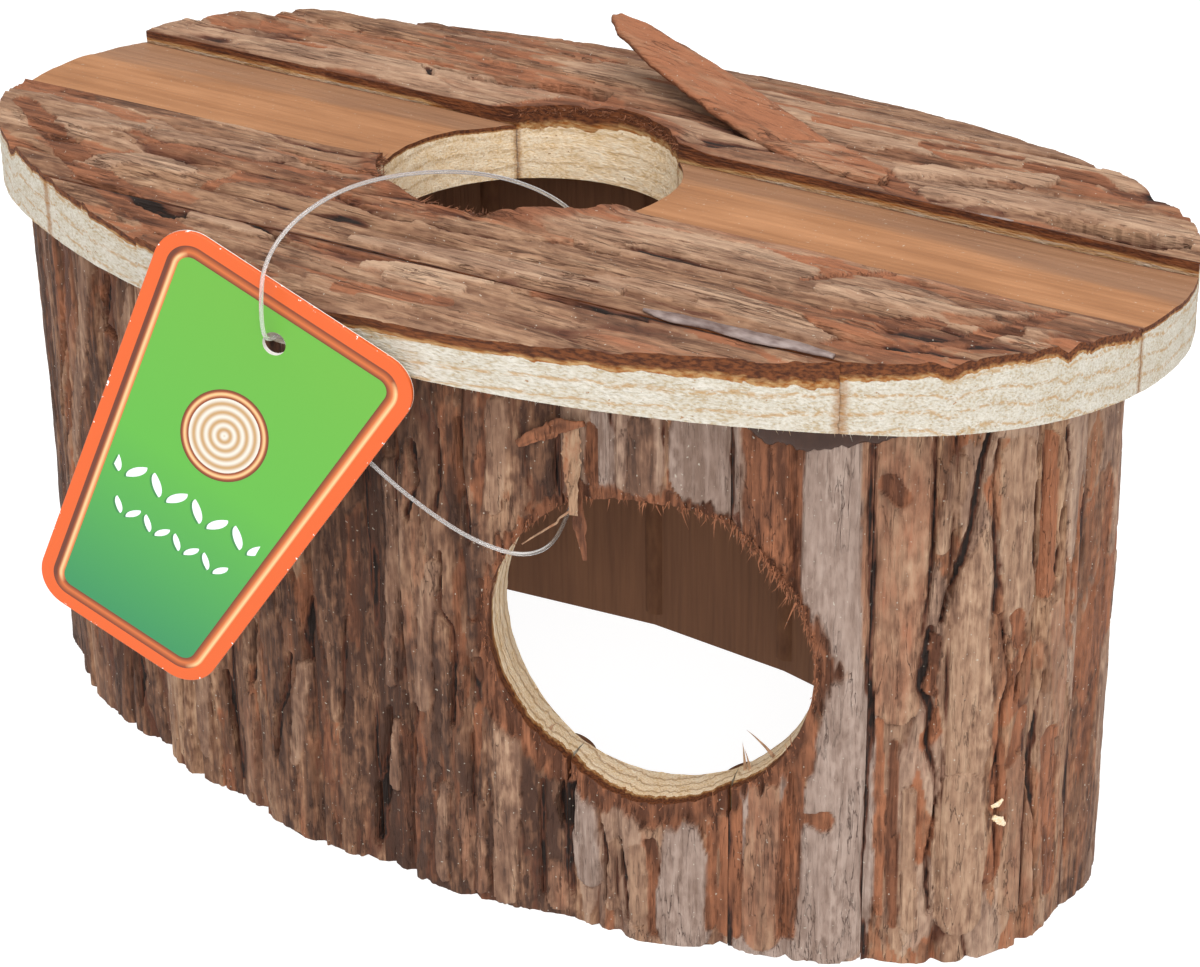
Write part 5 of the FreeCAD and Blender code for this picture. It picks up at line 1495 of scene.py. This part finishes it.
# Scraps on the wall: name, tone, rust, thickness, curl and (station, height, lift, half width).
WALL_SCRAPS = [
    ("pale_bark_curl", 0.95, 0.35, 0.5, 0.3, [(91.8, 94.5, 0.4, 1.9), (91.6, 90.5, 1.0, 1.9),
     (91.0, 86.0, 1.8, 1.4), (90.2, 80.1, 3.0, 0.8)]),
    ("red_bark_curl", 0.35, 1.0, 0.5, 0.3, [(91.2, 86.0, 0.7, 1.0), (89.8, 79.0, 2.0, 1.3),
     (88.5, 72.4, 2.8, 0.4)]),
    ("red_bark_leaf", 0.45, 1.0, 0.5, 0.2, [(101.7, 90.2, 1.4, 0.6), (97.4, 92.9, 2.0, 1.5),
     (93.5, 94.3, 1.8, 1.3), (89.4, 95.6, 1.0, 0.4)]),
    ("pale_fibre", 1.0, 0.3, 0.3, 0.0, [(91.5, 80.2, 1.4, 0.18), (94.2, 77.6, 1.5, 0.2),
     (97.8, 74.9, 1.2, 0.18), (101.5, 71.8, 0.6, 0.12)]),
    ("lower_chip", 0.6, 0.0, 0.5, 0.0, [(21.6, 28.2, 0.7, 0.4), (20.4, 27.4, 0.9, 0.7),
     (19.3, 26.2, 0.7, 0.3)]),
    ("upper_chip", 0.6, 0.0, 0.5, 0.0, [(22.0, 30.3, 0.7, 0.3), (20.9, 30.6, 0.9, 0.5),
     (19.9, 31.2, 0.7, 0.2)]),
]
# Glue squeezed out on the roof: name and (x, y, half width) along it.
ROOF_GLUE = [
    ("front_seam_glue", "roof_slat_front", [(50.3, -46.8, 0.3), (56.0, -46.9, 1.2), (62.0, -46.4, 0.9),
     (70.0, -46.6, 1.3), (77.0, -46.0, 1.1), (84.5, -46.2, 0.5)]),
    ("right_seam_glue", "roof_slat_rear", [(69.0, 18.6, 0.5), (79.0, 18.4, 0.9), (90.0, 18.5, 0.7),
     (99.0, 18.3, 1.0), (106.0, 18.4, 0.5)]),
    ("left_seam_glue", "roof_slat_rear", [(-104.0, 18.4, 0.4), (-97.0, 18.5, 0.9), (-88.0, 18.5, 0.5)]),
]


class HOUSE_OT_scraps(bpy.types.Operator):
    """Torn fibres, curls of bark, wood chips and smears of glue"""

    bl_idname = "hamster_house.scraps"
    bl_label = "Scraps and fibres"

    def execute(self, context):
        slats = [WallSlat(name, 0, PLATED) for name in sorted(nodes_of("wall_slat"))]
        skin = conifer_bark("upright conifer bark", "Z")
        wood = sawn_wood("bored softwood, lying", "X", True)
        for number, (name, tone, rust, thick, curl, points) in enumerate(WALL_SCRAPS):
            line = eased(points, 40)
            material = wood if "chip" in name else skin
            piece = ribbon(name, *on_wall(slats, line[:, :3]), line[:, 3], thick, curl, material,
                           (tone, rust), 501 + 7 * number)
            finish_piece(piece, "sawn_wood" if "chip" in name else "inner_bark")
        self.glue(slats)
        self.bore_fibres(slats, skin)
        self.roof_fibres()
        return {"FINISHED"}

    def glue(self, slats):
        """The smear under the eave, and glue that has come out of the roof's seams."""
        clean = hot_glue("hot-melt glue")
        line = eased([(37.5, 99.8, 0.3, 1.2), (43.0, 99.0, 0.4, 2.2), (49.0, 98.4, 0.5, 2.8),
                      (55.0, 98.0, 0.5, 3.0), (60.0, 98.5, 0.4, 2.4), (64.0, 99.6, 0.3, 1.0)], 60)
        piece = ribbon("eave_glue_smear", *on_wall(slats, line[:, :3]), line[:, 3], 1.0, 0.0, clean,
                       (0.5, 0.0), 611)
        finish_piece(piece, "hot_glue", "glue_bead_under_eave")
        milky = milky_glue("milky hot-melt glue")
        for number, (name, node, points) in enumerate(ROOF_GLUE):
            slat = RoofSlat(node, 0, ROOF_PLATED)
            line = eased(points, 60)
            lift = 0.1 if node == "roof_slat_front" else -1.2
            spots = slat.place(line[:, 1], line[:, 0], lift)
            outward = np.tile(unit(np.array([0.0, -0.35, 1.0])), (len(line), 1))
            piece = ribbon(name, spots, outward, line[:, 2], 0.6, 0.0, milky, (0.5, 0.0),
                           631 + 9 * number, 0.25)
            finish_piece(piece, "hot_glue")

    def bore_fibres(self, slats, skin):
        """Fibres that the borer tore out round the entrance: they hang down at its top."""
        chance = np.random.default_rng(7)
        roots, ways, reach = [], [], []
        for turn in np.r_[chance.uniform(0, 2 * math.pi, 500), chance.normal(0.75, 0.3, 260)]:
            found = on_bore_edge(slats, turn)
            if not found:
                continue
            spot, away = found
            top = math.sin(turn)
            upper_right = max(0.0, math.cos(turn - 0.7))
            if top > -0.2 or chance.random() < 0.35:
                roots.append(spot + away * chance.uniform(0, 1.2)
                             + DOOR_AXIS * chance.uniform(-1.2, 0.4))
                ways.append(np.array([0, 0, -1.0 if top > -0.2 else 0.8]) - 0.15 * away
                            + DOOR_AXIS * chance.uniform(-0.1, 0.35))
                reach.append(chance.uniform(0.4, 1.3) + 2.2 * chance.random() ** 4 * upper_right)
        reach = np.array(reach)
        piece = fibres("entrance_fibres", np.array(roots), np.array(ways), reach,
                       0.14 + 0.10 * reach, skin, 0.7, 1.0, 11)
        finish_piece(piece, "inner_bark")
        # Splinters that stand up in the bore: turn round its axis, depth in it and lean outwards.
        roots, ways = [], []
        for turn, deep, lean in ((-1.0, 6.4, 0.0), (-0.74, 5.6, 0.0), (-0.96, 6.0, 0.2),
                                 (3.0, 3.0, 0.5), (2.9, 2.0, 0.3), (-2.3, 5.0, 0.1)):
            spot, away = on_bore_edge(slats, turn)
            roots.append(spot + 0.2 * away - deep * DOOR_AXIS)
            ways.append(-0.4 * away + np.array([0, 0, 1.0]) + lean * DOOR_AXIS)
        piece = fibres("entrance_splinters", np.array(roots), np.array(ways),
                       np.array([5.6, 6.0, 3.0, 2.6, 2.0, 2.2]), np.full(6, 0.8), skin, 1.0, 0.2, 23)
        finish_piece(piece, "sawn_wood")

    def roof_fibres(self):
        """Fuzz round the roof's hole, and pale fuzz under its sawn edge."""
        chance = np.random.default_rng(17)
        skin = conifer_bark("lying conifer bark", "X")
        front = RoofSlat("roof_slat_front", 0, ROOF_PLATED)
        rear = RoofSlat("roof_slat_rear", 0, ROOF_PLATED)
        roots, ways, reach = [], [], []
        for turn in chance.uniform(0, 2 * math.pi, 1500):
            way = np.array([math.cos(turn), math.sin(turn)])
            x, y = np.array(ROOF_HOLE) + way * (ROOF_HOLE_RADIUS + chance.uniform(-0.2, 0.8))
            for slat in (front, rear):
                ahead, behind = (float(edge[0]) for edge in slat.edges(np.array([x])))
                if ahead < y < behind:
                    roots.append(slat.place(y, x, chance.uniform(-1.0, 0.4)))
                    # The front slat is the woollier one.
                    wool = float(slat is front)
                    inward = -np.array([*way, 0.0]) * (0.5 + 0.5 * wool)
                    grain = np.array([chance.choice([-1.0, 1.0]), 0, 0])
                    ways.append(inward + 0.4 * grain + [0, 0, chance.uniform(-0.1, 0.2)])
                    reach.append(chance.uniform(0.4, 1.4) + 0.8 * wool * chance.random() ** 2)
        reach = np.array(reach)
        piece = fibres("roof_hole_fibres", np.array(roots), np.array(ways), reach,
                       0.14 + 0.09 * reach, skin, 0.5, 0.9, 13)
        finish_piece(piece, "inner_bark")
        oval, low, _ = roof_plan()
        ring, outward = evenly(oval, 0.55)
        count = len(ring)
        roots = at_level(ring - 0.8 * outward, low + 0.2)
        along = np.column_stack([-outward[:, 1], outward[:, 0]]) * chance.normal(size=(count, 1))
        ways = np.column_stack([0.5 * along + 0.1 * outward, -np.ones(count)])
        piece = fibres("rim_fibres", roots, ways, chance.uniform(0.3, 1.0, count),
                       np.full(count, 0.16), sawn_wood("sawn softwood, lying", "X"), 0.6, 0.0, 19)
        finish_piece(piece, "sawn_wood")


def card_ring(inset, count=24):
    """Outline of the card moved inwards, counter-clockwise round the punched hole."""
    corners = np.array([(-TAG_TOP_WIDTH / 2, TAG_ABOVE_HOLE), (-TAG_BOTTOM_WIDTH / 2, -TAG_BELOW_HOLE),
                        (TAG_BOTTOM_WIDTH / 2, -TAG_BELOW_HOLE), (TAG_TOP_WIDTH / 2, TAG_ABOVE_HOLE)])
    radius = max(TAG_CORNER_RADIUS - inset, 0.6)
    points = []
    for before, here, after in zip(np.roll(corners, 1, 0), corners, np.roll(corners, -1, 0)):
        back, ahead = unit(before - here), unit(after - here)
        half = math.acos(back @ ahead) / 2
        middle = here + unit(back + ahead) * (radius + inset) / math.sin(half)
        first = math.atan2(back[0], -back[1])
        points.append(middle + radius * around(first + np.linspace(0, math.pi - 2 * half, count)))
    return np.concatenate(points)


def card_edge(u, v):
    """Distance of places on the card from its edge, and the sideways lean of that edge."""
    outline = card_ring(0.0, 60)
    ahead = np.roll(outline, -1, 0) - outline
    length = np.linalg.norm(ahead, axis=1)
    away = np.stack([u, v], -1)[:, None] - outline
    share = np.clip((away * ahead).sum(-1) / length ** 2, 0, 1)
    apart = np.linalg.norm(away - share[..., None] * ahead, axis=-1)
    nearest = apart.argmin(1)
    return apart.min(1), (ahead[:, 1] / length)[nearest]


class HOUSE_OT_tag(bpy.types.Operator):
    """Card tag that swings on the loop"""

    bl_idname = "hamster_house.tag"
    bl_label = "Card tag"

    def execute(self, context):
        front = printed_card("varnished printed card")
        board = raw_board("raw white board")
        out = Vector((math.cos(TAG_FACING), math.sin(TAG_FACING), 0))
        along = Vector((-math.sin(TAG_FACING), math.cos(TAG_FACING), 0))
        lie = Matrix((along, (0, 0, 1), out)).transposed() @ Matrix.Rotation(TAG_TURN, 3, "Z")
        place = Matrix.Translation(Vector(TAG_HOLE) * MM) @ lie.to_4x4()
        # The ink has run down most of the cut edge, whose corners are a little round.
        bare_to = 0.25 - TAG_THICKNESS
        rounding = 0.08
        levels = [(rounding, -TAG_THICKNESS), (0.0, rounding - TAG_THICKNESS), (0.0, bare_to),
                  (0.0, -rounding), (rounding, 0.0)]
        levels += [(inset, 0.0) for inset in (1.0, 2.2, 3.2, 4.4, 5.6)]
        loops = [at_level(card_ring(inset), level) for inset, level in levels]
        mesh = tube_mesh("card_tag_printed", np.array(loops), [front, board])
        middle = np.array([polygon.center for polygon in mesh.polygons]) / MM
        bare = middle[:, 2] < bare_to
        mesh.polygons.foreach_set("material_index", bare.astype(np.int32))
        piece = shown("card_tag_printed", mesh)
        circle = TAG_HOLE_RADIUS * around(np.linspace(0, 2 * math.pi, 48, endpoint=False))
        ends = np.array([at_level(circle, level) for level in (-3.0, 2.0)])
        carve(piece, tube_mesh("punch", ends, [board]), "DIFFERENCE")
        mesh = piece.data
        spots = mesh_points(mesh)
        edge, side = card_edge(spots[:, 0], spots[:, 1])
        for name, values in (("u", spots[:, 0]), ("v", spots[:, 1]), ("edge", edge), ("side", side)):
            set_value(mesh, name, values)
        mesh.transform(place)
        mesh.name = piece.name
        finish_piece(piece, "printed_card", "card_tag", body=TAG)
        return {"FINISHED"}


class HOUSE_OT_loop(bpy.types.Operator):
    """Nylon loop with its snap lock"""

    bl_idname = "hamster_house.loop"
    bl_label = "Nylon loop"

    def execute(self, context):
        curve = bpy.data.curves.new("nylon_loop_clear", "CURVE")
        curve.dimensions = "3D"
        curve.bevel_depth = LOOP_DIAMETER / 2 * MM
        curve.bevel_resolution = 3
        curve.use_fill_caps = True
        curve.resolution_u = 12
        spline = curve.splines.new("NURBS")
        spline.points.add(len(LOOP_ROUTE) - 1)
        for point, place in zip(spline.points, LOOP_ROUTE):
            point.co = (*(Vector(place) * MM), 1)
        spline.order_u = 3
        spline.use_endpoint_u = True
        curve.materials.append(clear_nylon("clear nylon"))
        piece = shown("nylon_loop_clear", curve)
        finish_piece(piece, "clear_nylon", "nylon_loop")
        lock = dress_node("loop_lock", moulded_nylon("moulded nylon"))
        return {"FINISHED"}


class HOUSE_OT_stage(bpy.types.Operator):
    """Pale floor, soft light and camera"""

    bl_idname = "hamster_house.stage"
    bl_label = "Stage"

    def execute(self, context):
        scene = context.scene
        mesh = bpy.data.meshes.new("floor")
        size = 6.0
        mesh.from_pydata([(-size, -size, 0), (size, -size, 0), (size, size, 0), (-size, size, 0)],
                         [], [(0, 1, 2, 3)])
        mesh.materials.append(studio_floor("lit white sheet"))
        shown("floor", mesh)
        scene.world = bpy.data.worlds.new("studio")
        scene.world.use_nodes = True
        tree = scene.world.node_tree
        background = tree.nodes["Background"]
        fill(background.inputs["Color"], "#ffffff")
        # The light comes more from the right and the front than from the left.
        towards = add_node(tree, "ShaderNodeTexCoord", output="Generated")
        right, back = (add_node(tree, "ShaderNodeSeparateXYZ", towards, output=axis) for axis in "XY")
        fill(background.inputs["Strength"], right * 0.3 + back * -0.1 + 0.56)
        for name, place, power, width in (("overhead", (0.1, -0.2, 1.6), 24, 1.6),
                                          ("front", (0.9, -1.5, 0.9), 14, 1.2)):
            data = bpy.data.lights.new(name, "AREA")
            data.energy = power
            data.size = width
            lamp = shown(name, data)
            lamp.location = place
            lamp.rotation_euler = (-Vector(place)).to_track_quat("-Z", "Y").to_euler()
        data = bpy.data.cameras.new("camera")
        data.lens = CAMERA_LENS
        data.shift_x, data.shift_y = CAMERA_SHIFT
        camera = shown("camera", data)
        look = (Vector(CAMERA_TARGET) - Vector(CAMERA_PLACE)).to_track_quat("-Z", "Y").to_matrix()
        turn = (look @ Matrix.Rotation(CAMERA_ROLL, 3, "Z")).to_4x4()
        camera.matrix_world = Matrix.Translation(Vector(CAMERA_PLACE) * MM) @ turn
        scene.camera = camera
        scene.view_settings.view_transform = "Standard"
        return {"FINISHED"}


class HOUSE_PT_panel(bpy.types.Panel):
    """Sizes, colours and pieces of the hamster house"""

    bl_label = "Hamster House"
    bl_idname = "HOUSE_PT_panel"
    bl_space_type = "VIEW_3D"
    bl_region_type = "UI"
    bl_category = "Hamster House"

    def draw(self, context):
        column = self.layout.column()
        for group in (context.scene.hamster_house_sizes, context.scene.hamster_house_colours):
            for name in group.__annotations__:
                column.prop(group, name)
        for operator in OPERATORS:
            column.operator(operator.bl_idname)


OPERATORS = (HOUSE_OT_wall, HOUSE_OT_roof, HOUSE_OT_glue, HOUSE_OT_bark_strip, HOUSE_OT_scraps,
             HOUSE_OT_tag, HOUSE_OT_loop, HOUSE_OT_stage)
CLASSES = (HamsterHouseColours, HamsterHouseSizes, *OPERATORS, HOUSE_PT_panel)


def register():
    for cls in CLASSES:
        bpy.utils.register_class(cls)
    bpy.types.Scene.hamster_house_colours = bpy.props.PointerProperty(type=HamsterHouseColours)
    bpy.types.Scene.hamster_house_sizes = bpy.props.PointerProperty(type=HamsterHouseSizes)


def unregister():
    del bpy.types.Scene.hamster_house_sizes
    del bpy.types.Scene.hamster_house_colours
    for cls in reversed(CLASSES):
        bpy.utils.unregister_class(cls)


def main():
    """Dress the frame."""
    register()
    for operator in OPERATORS:
        group, name = operator.bl_idname.split(".")
        getattr(getattr(bpy.ops, group), name)()


if __name__ == "__main__":
    main()
